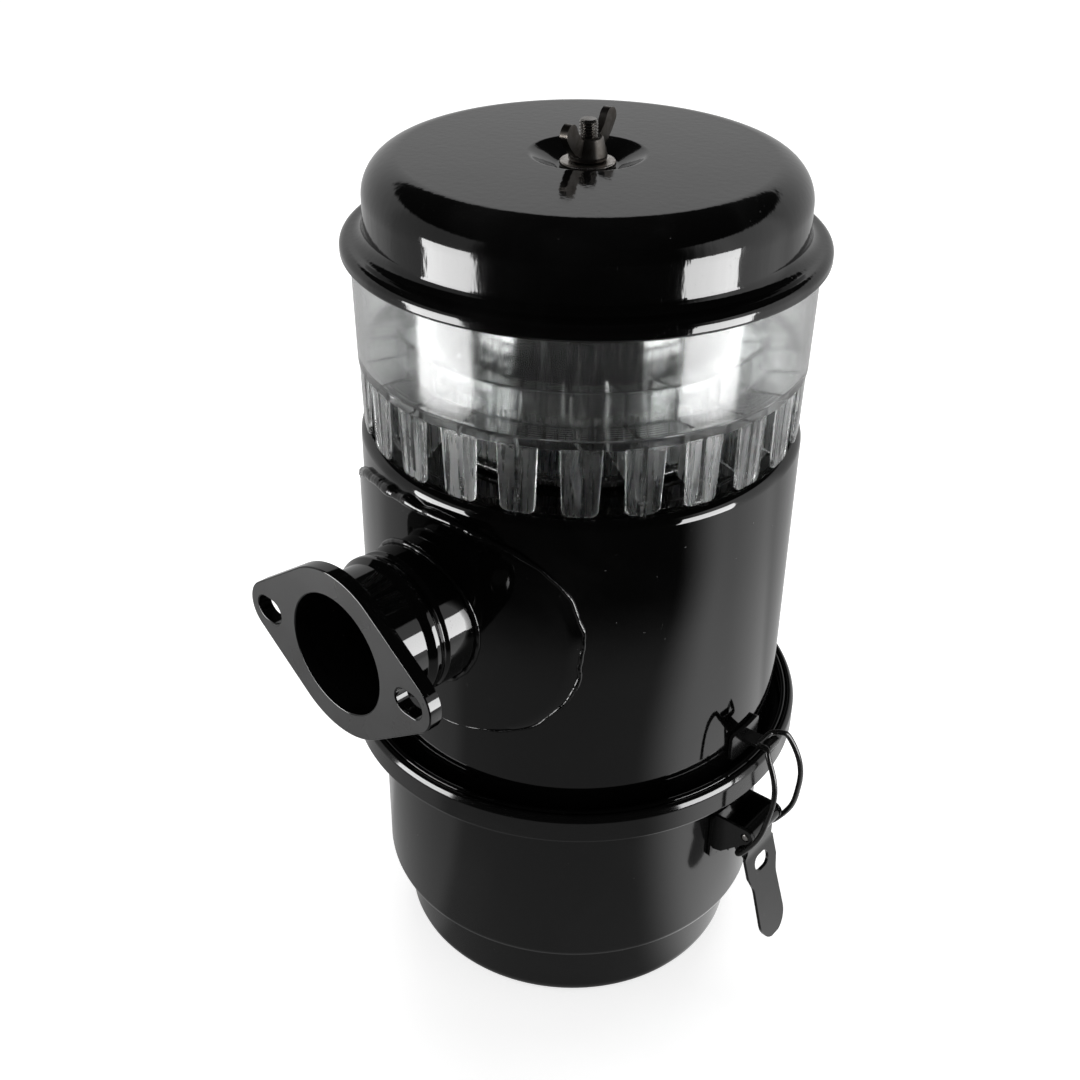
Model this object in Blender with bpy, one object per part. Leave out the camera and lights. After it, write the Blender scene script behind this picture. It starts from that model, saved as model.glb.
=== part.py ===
"""Oil bath air filter with a clear pre-cleaner, a two-bolt side outlet and two toggle latches.

Metres, +Z up. The origin is the centre of the oil cup's flat base. The outlet points along -Y.
"""
import math

import bmesh
import bpy
from mathutils import Matrix, Vector

# Fits
FIT = 0.0003                    # gap between pieces that touch
PIN_FIT = 0.0003                # radial clearance of pins, studs and wires in their holes

# Drum radius, from which the other round pieces take theirs
BODY_RADIUS = 0.075

# Oil cup
CUP_WALL = 0.0012
CUP_BASE_FILLET = 0.006
CUP_LOWER_INSET = 0.0077        # lower part inside the upper part
CUP_STEP_HEIGHT = 0.028
CUP_STEP_SHELF = 0.0015         # flat of the step before its fillet
CUP_STEP_CHAMFER = 0.0010
CUP_UPPER_INSET = 0.0023        # upper part inside the drum's wall line
RIM_LEDGE_HEIGHT = 0.096        # underside of the rim above the base
RIM_OVERHANG = 0.0084           # rim outside the drum's wall line
RIM_HEIGHT = 0.011
RIM_BEAD = 0.0012               # radius of the rolled top edge of the rim
GASKET_THICKNESS = 0.0028
GASKET_WIDTH = 0.0070

# Oil baffle in the cup
BAFFLE_HOLE_GAP = 0.010         # round the centre tube
BAFFLE_SEAT = 0.0028            # its top above the step's inner shelf
BAFFLE_LIP = 0.0040
BAFFLE_EDGE = 0.0060            # height of the turned-up outer edge
BAFFLE_WALL = 0.0010

# Body drum
BODY_WALL = 0.0012
BODY_HEIGHT = 0.1155            # flange underside to top plate
BODY_SHOULDER = 0.009
BODY_FOOT_SHARE = 0.65          # foot fillet, as a share of the flange's flat
BODY_FLANGE_BEND = 0.0008
BODY_FLANGE_LIP = 0.0022        # upturned edge of the bottom flange

# Inlet neck, centre tube and centre bolt
NECK_INSET = 0.027              # inside the drum's wall line
NECK_WALL = 0.0012
NECK_HEIGHT = 0.069
NECK_FOOT_WIDTH = 0.0045
NECK_FOOT_HEIGHT = 0.0032
TUBE_INSET = 0.018              # inside the inlet neck
TUBE_WALL = 0.0012
TUBE_FLANGE_WIDTH = 0.012
TUBE_COLLAR_WIDTH = 0.006
TUBE_END_HEIGHT = 0.046         # open lower end above the base
BRIDGE_WIDTH = 0.014
BRIDGE_THICKNESS = 0.003
BRIDGE_SPARE = 0.006            # how far the bridge reaches onto the plate on each side
STUD_RADIUS = 0.003
STUD_STAND = 0.0125             # stud above the washer
STUD_HEAD_FLATS = 0.010
STUD_HEAD_HEIGHT = 0.004

# Filter pack
PACK_LIFT = 0.0124              # underside of the lower grid above the drum's flange
PACK_HEIGHT = 0.031
GRID_THICKNESS = 0.0012
GRID_HOLES = 7
GRID_HOLE_RADIUS = 0.0060
GRID_RIM_GAP = 0.0004

# Side outlet
OUTLET_SHARE = 0.607            # outlet's centre, as a share of the drum's height
OUTLET_STAND = 0.0352           # flange face from the drum's wall
BORE_RADIUS = 0.021
OUTLET_WALL = 0.0022
OUTLET_BEAD_STAND = 0.0135      # bead's middle from the drum's wall
OUTLET_BEAD_RISE = 0.0020
OUTLET_BEAD_WIDTH = 0.0050
OUTLET_FOOT_RISE = 0.0012       # fatter stretch between bead and drum
PAD_HALF_LENGTH = 0.0586        # along the drum's curve
PAD_HALF_HEIGHT = 0.0400
PAD_THICKNESS = 0.0012
PAD_POWER = 2.5                 # 2 is an ellipse, more is squarer
FLANGE_THICKNESS = 0.005
FLANGE_WAIST_RADIUS = 0.030
FLANGE_BOLT_SPACING = 0.0694
FLANGE_LOBE_RADIUS = 0.0100
SLOT_WIDTH = 0.0088
SLOT_LENGTH = 0.0122

# Pre-cleaner bowl
BOWL_OVERHANG = 0.0004          # top edge outside the drum's wall line
BOWL_DRAFT = 0.05               # radius lost per unit of height
BOWL_WALL = 0.0018
BOWL_LIFT = 0.0275              # floor above the body's top plate
BOWL_HEIGHT = 0.036             # floor to top edge
BOWL_FLOOR = 0.0020
TROUGH_WIDTH = 0.0098           # dust trough between the bowl's wall and the lip
LIP_WALL = 0.0016
LIP_HEIGHT = 0.0110
SLEEVE_WALL = 0.0016
SLEEVE_HEIGHT = 0.032
FINGERS = 24
FINGER_FIRST = math.radians(43.2)   # from -Y towards +X
FINGER_LENGTH = 0.025
FINGER_ROOT_WIDTH = 0.0130
FINGER_TIP_WIDTH = 0.0112
FINGER_CORNER = 0.0026
FINGER_WALL = 0.0016
FINGER_INSET = 0.0005           # step between the bowl's wall and the fingers
VANE_THICKNESS = 0.0014
VANE_SLANT = math.radians(13.0)
VANE_TIP_DROP = 0.0095          # how far the vane's lower edge rises on its way in
VANE_TIP_RISE = 0.0025          # vane's lower corner above the finger tip

# Cover
COVER_WALL = 0.0010
COVER_INSET = 0.0045            # side inside the bowl's top edge
COVER_RISE = 0.0255             # cover top above the bowl's gasket
COVER_SHOULDER = 0.012
COVER_FLARE = 0.0040
COVER_OVERHANG = 0.0031         # bead outside the bowl's top edge
COVER_BEAD_WIDTH = 0.0027
COVER_BEAD_HEIGHT = 0.0052
COVER_GASKET = 0.0015
DIMPLE_RADIUS = 0.0185
DIMPLE_FLOOR_RADIUS = 0.0100
DIMPLE_DEPTH = 0.0042
WASHER_RADIUS = 0.0089
WASHER_THICKNESS = 0.0015

# Wing nut
NUT_BASE_RADIUS = 0.0062
NUT_TOP_RADIUS = 0.0046
NUT_HEIGHT = 0.0072
WING_SPAN = 0.0150              # wing tip from the axis
WING_RISE = 0.0135              # wing top above the washer
WING_THICKNESS = 0.0026
WING_TURN = math.radians(12.8)  # from -Y towards +X

# Toggle latches, in the plane through the axis: distance from the axis, height
LATCH_TURN = math.radians(5.8)  # from +X towards +Y
WIRE_RADIUS = 0.0010
PIVOT_OUT = 0.0026              # lever pin outside the rim
PIVOT_DROP = 0.017              # lever pin below the rim's ledge
TOGGLE_ARM = 0.0080             # lever pin to bail ends
TOGGLE_ANGLE = math.radians(18.0)   # past the dead centre
LEVER_WIDTH = 0.0168
LEVER_WAIST = 0.0126
LEVER_PLATE = 0.0012
LEVER_SET = 0.0004              # plate's middle outside the pin's axis
LEVER_LENGTH = 0.050
LEVER_BEND_AT = 0.015
LEVER_BEND = math.radians(18.0)
LEVER_CURL = 0.0028             # outer radius round the pin
LEVER_EAR_WALL = 0.0012
LEVER_HOLE_WIDTH = 0.0050
LEVER_HOLE_LENGTH = 0.0072
LEVER_HOLE_AT = 0.0168          # below the pin
LEVER_TOP = 0.006               # plate's blank above the pin
LEVER_SHOULDER_AT = 0.0115      # below the pin, where the ears' width ends
LEVER_TAPER_AT = 0.0150
LEVER_NECK_AT = 0.0240
LEVER_BEND_RADIUS = 0.010
LEVER_EAR_ROUND = 0.0026
PIN_RADIUS = 0.0014
PIN_STAND = 0.0002              # pin end beyond the bracket's ear
BRACKET_PLATE = 0.0012
BRACKET_HEIGHT = 0.020
BRACKET_EAR_RADIUS = 0.0033
BRACKET_EAR_GAP = 0.0004
HOOK_HEIGHT = 0.0215            # crossbar of the bail above the rim ledge's underside
HOOK_OUT = 0.0006               # crossbar outside the rim
HOOK_PLATE = 0.0015
HOOK_TONGUE = 0.0060
HOOK_BASE_WIDTH = 0.0170
HOOK_BASE_HEIGHT = 0.0110
HOOK_FLOOR_GAP = 0.0008         # lets the bail dip as it passes its dead centre
HOOK_LIP_GAP = 0.0017
HOOK_LIP = 0.0022
BAIL_TOP_HALF = 0.0050
BAIL_SHOULDER_HALF = 0.0072
BAIL_BOW_HALF = 0.0090
BAIL_FOOT_GAP = 0.0003
BAIL_BOW = 0.0113               # how far the legs bow out from the crossbar
BAIL_INSET = 0.0012             # bail ends past the inside of the lever's ears

# Facets
ROUND = 32
SMALL_ROUND = 20
BOWL_SIDES = FINGERS * 2

# Radii that follow from the drum
CUP_UPPER_RADIUS = BODY_RADIUS - CUP_UPPER_INSET
CUP_LOWER_RADIUS = CUP_UPPER_RADIUS - CUP_LOWER_INSET
RIM_RADIUS = BODY_RADIUS + RIM_OVERHANG
NECK_RADIUS = BODY_RADIUS - NECK_INSET
TUBE_RADIUS = NECK_RADIUS - TUBE_INSET
BAFFLE_HOLE_RADIUS = TUBE_RADIUS + BAFFLE_HOLE_GAP
BOWL_TOP_RADIUS = BODY_RADIUS + BOWL_OVERHANG
LIP_RADIUS = BOWL_TOP_RADIUS - BOWL_DRAFT * BOWL_HEIGHT - BOWL_WALL - TROUGH_WIDTH
COVER_RADIUS = BOWL_TOP_RADIUS - COVER_INSET
COVER_EDGE_RADIUS = BOWL_TOP_RADIUS + COVER_OVERHANG
OUTLET_REACH = BODY_RADIUS + OUTLET_STAND
OUTLET_BEAD_AT = BODY_RADIUS + OUTLET_BEAD_STAND
PIVOT_RADIUS = RIM_RADIUS + PIVOT_OUT

# Heights that follow from the stack
PIVOT_HEIGHT = RIM_LEDGE_HEIGHT - PIVOT_DROP
GASKET_BASE = RIM_LEDGE_HEIGHT + CUP_WALL + FIT
BODY_BASE = GASKET_BASE + GASKET_THICKNESS + FIT
BODY_TOP = BODY_BASE + BODY_HEIGHT
OUTLET_HEIGHT = BODY_BASE + BODY_HEIGHT * OUTLET_SHARE
PACK_BASE_HEIGHT = BODY_BASE + PACK_LIFT
NECK_BASE = BODY_TOP + FIT
NECK_TOP = NECK_BASE + NECK_HEIGHT
FLOOR_HEIGHT = BODY_TOP + BOWL_LIFT
BOWL_TOP = FLOOR_HEIGHT + BOWL_HEIGHT
COVER_GASKET_BASE = BOWL_TOP + FIT
COVER_BASE = COVER_GASKET_BASE + COVER_GASKET + FIT
COVER_TOP = COVER_BASE + COVER_RISE
DIMPLE_HEIGHT = COVER_TOP - DIMPLE_DEPTH
WASHER_BASE = DIMPLE_HEIGHT + FIT
NUT_BASE = WASHER_BASE + WASHER_THICKNESS + FIT
STUD_TOP = NUT_BASE + STUD_STAND
SLEEVE_INNER = NECK_RADIUS + FIT + 0.0007
SLEEVE_BASE = NECK_BASE + NECK_FOOT_HEIGHT + FIT


def clear_scene():
    for obj in list(bpy.data.objects):
        bpy.data.objects.remove(obj, do_unlink=True)


def material(name, colour, roughness, metallic=0.0, coat=0.0, transmission=0.0):
    mat = bpy.data.materials.new(name)
    mat.use_nodes = True
    shader = mat.node_tree.nodes["Principled BSDF"]
    shader.inputs["Base Color"].default_value = (*colour, 1.0)
    shader.inputs["Roughness"].default_value = roughness
    shader.inputs["Metallic"].default_value = metallic
    shader.inputs["Coat Weight"].default_value = coat
    shader.inputs["Transmission Weight"].default_value = transmission
    return mat


def make_object(name, bm, mat, smooth_angle=None):
    """Turn a bmesh into a scene object with its faces pointing out."""
    bmesh.ops.recalc_face_normals(bm, faces=bm.faces[:])
    mesh = bpy.data.meshes.new(name)
    bm.to_mesh(mesh)
    bm.free()
    if smooth_angle is not None:
        mesh.shade_smooth()
        mesh.set_sharp_from_angle(angle=smooth_angle)
    obj = bpy.data.objects.new(name, mesh)
    obj.data.materials.append(mat)
    bpy.context.collection.objects.link(obj)
    return obj


def boolean(target, other, operation):
    mod = target.modifiers.new(other.name, "BOOLEAN")
    mod.operation = operation
    mod.solver = "EXACT"
    mod.object = other
    other.hide_render = True
    other.display_type = "WIRE"


def arc(centre, radius, start, end, steps):
    """Points of an arc in the profile plane, angles in degrees from +X."""
    points = []
    for i in range(steps + 1):
        a = math.radians(start + (end - start) * i / steps)
        points.append((centre[0] + radius * math.cos(a), centre[1] + radius * math.sin(a)))
    return points


def offset_line(points, distance):
    """Shift an open profile line to its left by a distance, with mitred corners."""
    shifted = []
    points = [p for i, p in enumerate(points) if i == 0 or math.dist(p, points[i - 1]) > 1e-6]
    for i, point in enumerate(points):
        here = Vector(point)
        before = (here - Vector(points[i - 1])).normalized() if i > 0 else None
        after = (Vector(points[i + 1]) - here).normalized() if i < len(points) - 1 else None
        before = before or after
        after = after or before
        normal = Vector((-before.y, before.x)) + Vector((-after.y, after.x))
        normal.normalize()
        stretch = max(normal.dot(Vector((-before.y, before.x))), 0.5)
        shifted.append(tuple(here + normal * (distance / stretch)))
    return shifted


def sheet_loop(points, wall):
    """Closed section of a sheet whose one face is the given line; the sheet lies to its left."""
    other = offset_line(points, wall)
    if points[0][0] < 1e-6:
        other[0] = (0.0, other[0][1])
    return list(points) + other[::-1]


def turned(name, loop, mat, steps=ROUND, start=0.0):
    """Spin a closed section round the Z axis."""
    bm = bmesh.new()
    verts = [bm.verts.new((max(r, 0.0), 0.0, z)) for r, z in loop]
    count = len(verts)
    edges = []
    for i in range(count):
        a, b = verts[i], verts[(i + 1) % count]
        if a.co.x > 1e-7 or b.co.x > 1e-7:
            edges.append(bm.edges.new((a, b)))
    bmesh.ops.rotate(bm, verts=verts, cent=(0, 0, 0), matrix=Matrix.Rotation(start, 3, "Z"))
    bmesh.ops.spin(bm, geom=verts + edges, cent=(0, 0, 0), axis=(0, 0, 1),
                   angle=math.tau, steps=steps, use_merge=True)
    bmesh.ops.remove_doubles(bm, verts=bm.verts[:], dist=1e-6)
    return make_object(name, bm, mat, math.radians(35))


def prism(name, outline, low, high, mat, frame=None, smooth_angle=None):
    """Extrude a closed outline from one height to another, then place it with a matrix."""
    bm = bmesh.new()
    add_prism(bm, outline, low, high, frame)
    return make_object(name, bm, mat, smooth_angle)


def add_prism(bm, outline, low, high, frame=None):
    verts = [bm.verts.new((x, y, low)) for x, y in outline]
    face = bm.faces.new(verts)
    made = bmesh.ops.extrude_face_region(bm, geom=[face])
    top = [item for item in made["geom"] if isinstance(item, bmesh.types.BMVert)]
    bmesh.ops.translate(bm, verts=top, vec=(0, 0, high - low))
    if frame is not None:
        bmesh.ops.transform(bm, matrix=frame, verts=verts + top)


def add_rod(bm, radius, low, high, steps, frame=None):
    outline = arc((0, 0), radius, 0, 360 - 360 / steps, steps - 1)
    add_prism(bm, outline, low, high, frame)


def rod(name, radius, low, high, mat, steps=SMALL_ROUND, frame=None):
    bm = bmesh.new()
    add_rod(bm, radius, low, high, steps, frame)
    return make_object(name, bm, mat, math.radians(35))


def capsule(length, width, steps=8):
    """Outline of a slot with round ends, long side along X."""
    half = (length - width) / 2
    right = arc((half, 0), width / 2, -90, 90, steps)
    left = arc((-half, 0), width / 2, 90, 270, steps)
    return right + left


def heading(angle):
    """Rotation that turns -Y towards +X by an angle."""
    return Matrix.Rotation(angle, 4, "Z")


def bowl_radius(height):
    """Outer radius of the drafted bowl wall at a height."""
    return BOWL_TOP_RADIUS - BOWL_DRAFT * (BOWL_TOP - height)


def finger_face(height):
    """Distance of the fingers' flat outer face from the axis at a height."""
    return bowl_radius(height) * math.cos(math.pi / BOWL_SIDES) - FINGER_INSET


def oil_cup(mat):
    chamfer = CUP_STEP_CHAMFER
    line = [(0.0, 0.0), (CUP_LOWER_RADIUS - CUP_BASE_FILLET, 0.0)]
    line += arc((CUP_LOWER_RADIUS - CUP_BASE_FILLET, CUP_BASE_FILLET), CUP_BASE_FILLET, -45, 0, 1)
    line += [(CUP_LOWER_RADIUS, CUP_STEP_HEIGHT - chamfer), (CUP_LOWER_RADIUS + chamfer, CUP_STEP_HEIGHT)]
    shoulder = CUP_LOWER_INSET - CUP_STEP_SHELF
    line += arc((CUP_UPPER_RADIUS - shoulder, CUP_STEP_HEIGHT + shoulder), shoulder, -90, 0, 2)
    line += [(CUP_UPPER_RADIUS, RIM_LEDGE_HEIGHT - 0.0010),
             (CUP_UPPER_RADIUS + 0.0010, RIM_LEDGE_HEIGHT),
             (RIM_RADIUS - 0.0012, RIM_LEDGE_HEIGHT),
             (RIM_RADIUS, RIM_LEDGE_HEIGHT + 0.0012)]
    top = RIM_LEDGE_HEIGHT + RIM_HEIGHT
    line += [(RIM_RADIUS, top - RIM_BEAD)]
    inside = offset_line(line, CUP_WALL)
    inside[0] = (0.0, CUP_WALL)
    bead = arc((RIM_RADIUS - RIM_BEAD, top - RIM_BEAD), RIM_BEAD, 40, 200, 3)
    bead.append((RIM_RADIUS - CUP_WALL, top - RIM_BEAD * 2 - 0.0006))
    return turned("oil_cup", line + bead + inside[:-1][::-1], mat)


def oil_baffle(mat):
    """Pressed ring that rests on the cup's step and holds the oil down."""
    seat = CUP_STEP_HEIGHT + CUP_WALL + BAFFLE_SEAT
    outer = CUP_UPPER_RADIUS - CUP_WALL - FIT
    bend = BAFFLE_WALL * 1.5
    line = [(BAFFLE_HOLE_RADIUS, seat - BAFFLE_LIP), (BAFFLE_HOLE_RADIUS, seat - bend),
            (BAFFLE_HOLE_RADIUS + bend, seat), (outer - BAFFLE_WALL * 2, seat), (outer - BAFFLE_WALL, seat + BAFFLE_EDGE)]
    return turned("oil_baffle", sheet_loop(line, -BAFFLE_WALL), mat)


def ring(name, inner, outer, low, high, mat):
    return turned(name, [(inner, low), (outer, low), (outer, high), (inner, high)], mat)


def cup_gasket(mat):
    outer = RIM_RADIUS - CUP_WALL - FIT
    return ring("cup_gasket", outer - GASKET_WIDTH, outer, GASKET_BASE,
                GASKET_BASE + GASKET_THICKNESS, mat)


def outlet_frame():
    """Local Z runs out along the outlet, local X along the flange, local Y up."""
    axes = Matrix(((1, 0, 0), (0, 0, -1), (0, 1, 0))).to_4x4()
    return Matrix.Translation((0, 0, OUTLET_HEIGHT)) @ axes


def body_shell(mat):
    """Drum with a turned-out bottom flange and a top plate open to the centre tube."""
    edge = RIM_RADIUS - RIM_BEAD * 2 - FIT * 2 - BODY_WALL
    flange_top = BODY_BASE + BODY_WALL
    bend = BODY_FLANGE_BEND
    line = [(edge, flange_top + BODY_FLANGE_LIP), (edge, flange_top + bend), (edge - bend, flange_top)]
    foot = (edge - bend - BODY_RADIUS) * BODY_FOOT_SHARE
    line += arc((BODY_RADIUS + foot, flange_top + foot), foot, 270, 180, 2)
    line += arc((BODY_RADIUS - BODY_SHOULDER, BODY_TOP - BODY_SHOULDER), BODY_SHOULDER, 0, 90, 4)
    line += [(TUBE_RADIUS - TUBE_WALL, BODY_TOP)]
    shell = turned("body_shell", sheet_loop(line, BODY_WALL), mat)
    hole = rod("body_outlet_hole", BORE_RADIUS, BODY_RADIUS * 0.5, BODY_RADIUS * 1.2, mat,
               frame=outlet_frame())
    boolean(shell, hole, "DIFFERENCE")
    return shell


def inlet_neck(mat):
    foot = NECK_RADIUS + NECK_FOOT_WIDTH
    inner = NECK_RADIUS - NECK_WALL
    loop = [(inner, NECK_BASE), (foot - 0.0012, NECK_BASE)]
    loop += arc((foot - NECK_FOOT_HEIGHT / 2, NECK_BASE + NECK_FOOT_HEIGHT / 2), NECK_FOOT_HEIGHT / 2, -50, 80, 3)
    loop += [(NECK_RADIUS + 0.0006, NECK_BASE + NECK_FOOT_HEIGHT),
             (NECK_RADIUS, NECK_BASE + NECK_FOOT_HEIGHT + 0.0006),
             (NECK_RADIUS, NECK_TOP), (inner, NECK_TOP)]
    return turned("inlet_neck", loop, mat)


def center_tube(mat):
    """Down tube with a welding flange at the top and a collar that carries the filter pack."""
    under_plate = BODY_TOP - BODY_WALL - FIT
    inner = TUBE_RADIUS - TUBE_WALL
    collar = PACK_BASE_HEIGHT - FIT
    loop = [(inner, TUBE_END_HEIGHT), (TUBE_RADIUS, TUBE_END_HEIGHT),
            (TUBE_RADIUS, collar - 0.0040), (TUBE_RADIUS + TUBE_COLLAR_WIDTH, collar - 0.0012),
            (TUBE_RADIUS + TUBE_COLLAR_WIDTH, collar), (TUBE_RADIUS, collar),
            (TUBE_RADIUS, under_plate - TUBE_WALL - 0.0020),
            (TUBE_RADIUS + 0.0020, under_plate - TUBE_WALL),
            (TUBE_RADIUS + TUBE_FLANGE_WIDTH, under_plate - TUBE_WALL),
            (TUBE_RADIUS + TUBE_FLANGE_WIDTH, under_plate), (inner, under_plate)]
    return turned("center_tube", loop, mat)


def stud_bridge(mat):
    """Flat bar across the tube's mouth that holds the centre stud."""
    reach = TUBE_RADIUS + BRIDGE_SPARE
    low = BODY_TOP + FIT
    outline = capsule(reach * 2, BRIDGE_WIDTH, 6)
    bridge = prism("stud_bridge", outline, low, low + BRIDGE_THICKNESS, mat)
    hole = rod("bridge_hole", STUD_RADIUS + PIN_FIT, low - BRIDGE_THICKNESS, low + BRIDGE_THICKNESS * 2, mat)
    boolean(bridge, hole, "DIFFERENCE")
    return bridge


def stud(mat):
    head_top = BODY_TOP
    corner = STUD_HEAD_FLATS / math.sqrt(3)
    bolt = rod("stud", STUD_RADIUS, head_top - STUD_HEAD_HEIGHT / 2, STUD_TOP, mat)
    head = prism("stud_head", arc((0, 0), corner, 0, 300, 5), head_top - STUD_HEAD_HEIGHT, head_top, mat)
    boolean(bolt, head, "UNION")
    return bolt


def grid(name, low, mat):
    """Perforated disc with two rows of holes that holds the wire wool."""
    inner = TUBE_RADIUS + GRID_RIM_GAP
    outer = BODY_RADIUS - BODY_WALL - GRID_RIM_GAP
    disc = ring(name, inner, outer, low, low + GRID_THICKNESS, mat)
    bm = bmesh.new()
    band = (outer - inner) / 3
    for row in (1, 2):
        for i in range(GRID_HOLES):
            place = heading(math.tau * (i + row / 2) / GRID_HOLES) @ Matrix.Translation(
                (0, -(inner + band * row), 0))
            add_rod(bm, GRID_HOLE_RADIUS, low - GRID_THICKNESS, low + GRID_THICKNESS * 2, 6, place)
    holes = make_object(name + "_holes", bm, mat)
    boolean(disc, holes, "DIFFERENCE")
    return disc


def mesh_pack(mat):
    low = PACK_BASE_HEIGHT + GRID_THICKNESS + FIT
    outer = BODY_RADIUS - BODY_WALL - GRID_RIM_GAP
    inner = TUBE_RADIUS + GRID_RIM_GAP
    loop = [(inner, low), (outer, low), (outer, low + PACK_HEIGHT), (inner, low + PACK_HEIGHT)]
    return turned("mesh_pack", loop, mat)


def outlet_pad(mat):
    """Saddle plate welded on the drum round the outlet: an oval sheet bent to the drum."""
    inner_radius = BODY_RADIUS + FIT
    hole = BORE_RADIUS + OUTLET_WALL + OUTLET_FOOT_RISE + FIT
    around, across = 32, 4
    bm = bmesh.new()
    grid_rows = []
    for radius in (inner_radius, inner_radius + PAD_THICKNESS):
        rows = []
        for j in range(across + 1):
            t = j / across
            row = []
            for i in range(around):
                a = math.tau * i / around
                c, s = math.cos(a), math.sin(a)
                near = (math.asin(hole * c / radius), hole * s)
                reach = (abs(c) ** PAD_POWER + abs(s) ** PAD_POWER) ** (-1 / PAD_POWER)
                far = (PAD_HALF_LENGTH * c * reach / BODY_RADIUS, PAD_HALF_HEIGHT * s * reach)
                turn = near[0] + (far[0] - near[0]) * t
                rise = near[1] + (far[1] - near[1]) * t
                row.append(bm.verts.new((radius * math.sin(turn), -radius * math.cos(turn),
                                         OUTLET_HEIGHT + rise)))
            rows.append(row)
        grid_rows.append(rows)
    inside, outside = grid_rows
    for i in range(around):
        k = (i + 1) % around
        for rows in (inside, outside):
            for j in range(across):
                bm.faces.new((rows[j][i], rows[j][k], rows[j + 1][k], rows[j + 1][i]))
        for j in (0, across):
            bm.faces.new((inside[j][i], inside[j][k], outside[j][k], outside[j][i]))
    return make_object("outlet_pad", bm, mat, math.radians(35))


def outlet_neck(mat):
    """Tube with a pressed bead, saddle-cut to the drum."""
    outer = BORE_RADIUS + OUTLET_WALL
    foot = outer + OUTLET_FOOT_RISE
    end = OUTLET_REACH - FLANGE_THICKNESS - FIT
    bead = OUTLET_BEAD_AT
    half = OUTLET_BEAD_WIDTH / 2
    peak = outer + OUTLET_BEAD_RISE
    loop = [(BORE_RADIUS, BODY_RADIUS * 0.86), (foot, BODY_RADIUS * 0.86), (foot, bead - half - 0.0010),
            (outer, bead - half), (peak - 0.0006, bead - half * 0.5), (peak, bead),
            (peak - 0.0006, bead + half * 0.5), (outer, bead + half), (outer, end), (BORE_RADIUS, end)]
    tube = turned("outlet_neck", loop, mat, steps=SMALL_ROUND)
    tube.data.transform(outlet_frame())
    saddle = rod("outlet_saddle_cut", BODY_RADIUS + FIT, OUTLET_HEIGHT - foot * 2, OUTLET_HEIGHT + foot * 2,
                 mat, steps=96)
    boolean(tube, saddle, "DIFFERENCE")
    return tube


def outlet_flange(mat):
    """Two-bolt diamond flange: a round waist and two lobes joined by tangent lines."""
    half = FLANGE_BOLT_SPACING / 2
    lean = math.degrees(math.acos((FLANGE_WAIST_RADIUS - FLANGE_LOBE_RADIUS) / half))
    outline = arc((half, 0), FLANGE_LOBE_RADIUS, -lean, lean, 6)
    outline += arc((0, 0), FLANGE_WAIST_RADIUS, lean, 180 - lean, 7)
    outline += arc((-half, 0), FLANGE_LOBE_RADIUS, 180 - lean, 180 + lean, 6)
    outline += arc((0, 0), FLANGE_WAIST_RADIUS, 180 + lean, 360 - lean, 7)
    low, high = OUTLET_REACH - FLANGE_THICKNESS, OUTLET_REACH
    plate = prism("outlet_flange", outline, low, high, mat, outlet_frame(), math.radians(35))
    bm = bmesh.new()
    past = FLANGE_THICKNESS
    add_rod(bm, BORE_RADIUS, low - past, high + past, SMALL_ROUND, outlet_frame())
    for side in (-1, 1):
        place = outlet_frame() @ Matrix.Translation((side * half, 0, 0))
        add_prism(bm, capsule(SLOT_LENGTH, SLOT_WIDTH, 6), low - past, high + past, place)
    holes = make_object("flange_holes", bm, mat)
    boolean(plate, holes, "DIFFERENCE")
    return plate


def finger_outline():
    """Half-width against height above the tip, from root to tip and back, with round corners."""
    tip = FINGER_TIP_WIDTH / 2
    root = FINGER_ROOT_WIDTH / 2
    top = FINGER_LENGTH - BOWL_FLOOR / 2
    corner = FINGER_CORNER
    right = [(root, top), (tip, corner)] + arc((tip - corner, corner), corner, -20, -90, 2)
    left = [(-x, y) for x, y in reversed(right)]
    return right + left


def precleaner_bowl(mat):
    """Clear moulding: drafted wall, floor, dust lip, sleeve, and fingers with swirl vanes."""
    floor_low = FLOOR_HEIGHT - BOWL_FLOOR
    wall = BOWL_WALL
    outer_low = bowl_radius(floor_low)
    loop = [(LIP_RADIUS - LIP_WALL, floor_low), (outer_low, floor_low),
            (BOWL_TOP_RADIUS, BOWL_TOP), (BOWL_TOP_RADIUS - wall, BOWL_TOP),
            (bowl_radius(FLOOR_HEIGHT) - wall, FLOOR_HEIGHT + 0.0012),
            (bowl_radius(FLOOR_HEIGHT) - wall - 0.0012, FLOOR_HEIGHT),
            (LIP_RADIUS, FLOOR_HEIGHT), (LIP_RADIUS, FLOOR_HEIGHT + LIP_HEIGHT),
            (LIP_RADIUS - LIP_WALL, FLOOR_HEIGHT + LIP_HEIGHT)]
    start = FINGER_FIRST + math.pi / BOWL_SIDES
    bowl = turned("precleaner_bowl", loop, mat, steps=BOWL_SIDES, start=start)
    sleeve = turned("bowl_sleeve", [
        (SLEEVE_INNER, SLEEVE_BASE), (SLEEVE_INNER + SLEEVE_WALL, SLEEVE_BASE),
        (SLEEVE_INNER + SLEEVE_WALL, SLEEVE_BASE + SLEEVE_HEIGHT),
        (SLEEVE_INNER, SLEEVE_BASE + SLEEVE_HEIGHT)], mat, steps=BOWL_SIDES, start=start)
    tip_height = floor_low - FINGER_LENGTH + BOWL_FLOOR
    outline = finger_outline()
    fingers, vanes = bmesh.new(), bmesh.new()
    for i in range(FINGERS):
        turn = heading(FINGER_FIRST + math.tau * i / FINGERS)
        add_finger(fingers, outline, tip_height, turn)
        add_vane(vanes, tip_height, turn)
    boolean(bowl, make_object("bowl_vanes", vanes, mat), "UNION")
    boolean(bowl, sleeve, "UNION")
    boolean(bowl, make_object("bowl_fingers", fingers, mat), "UNION")
    return bowl


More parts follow.
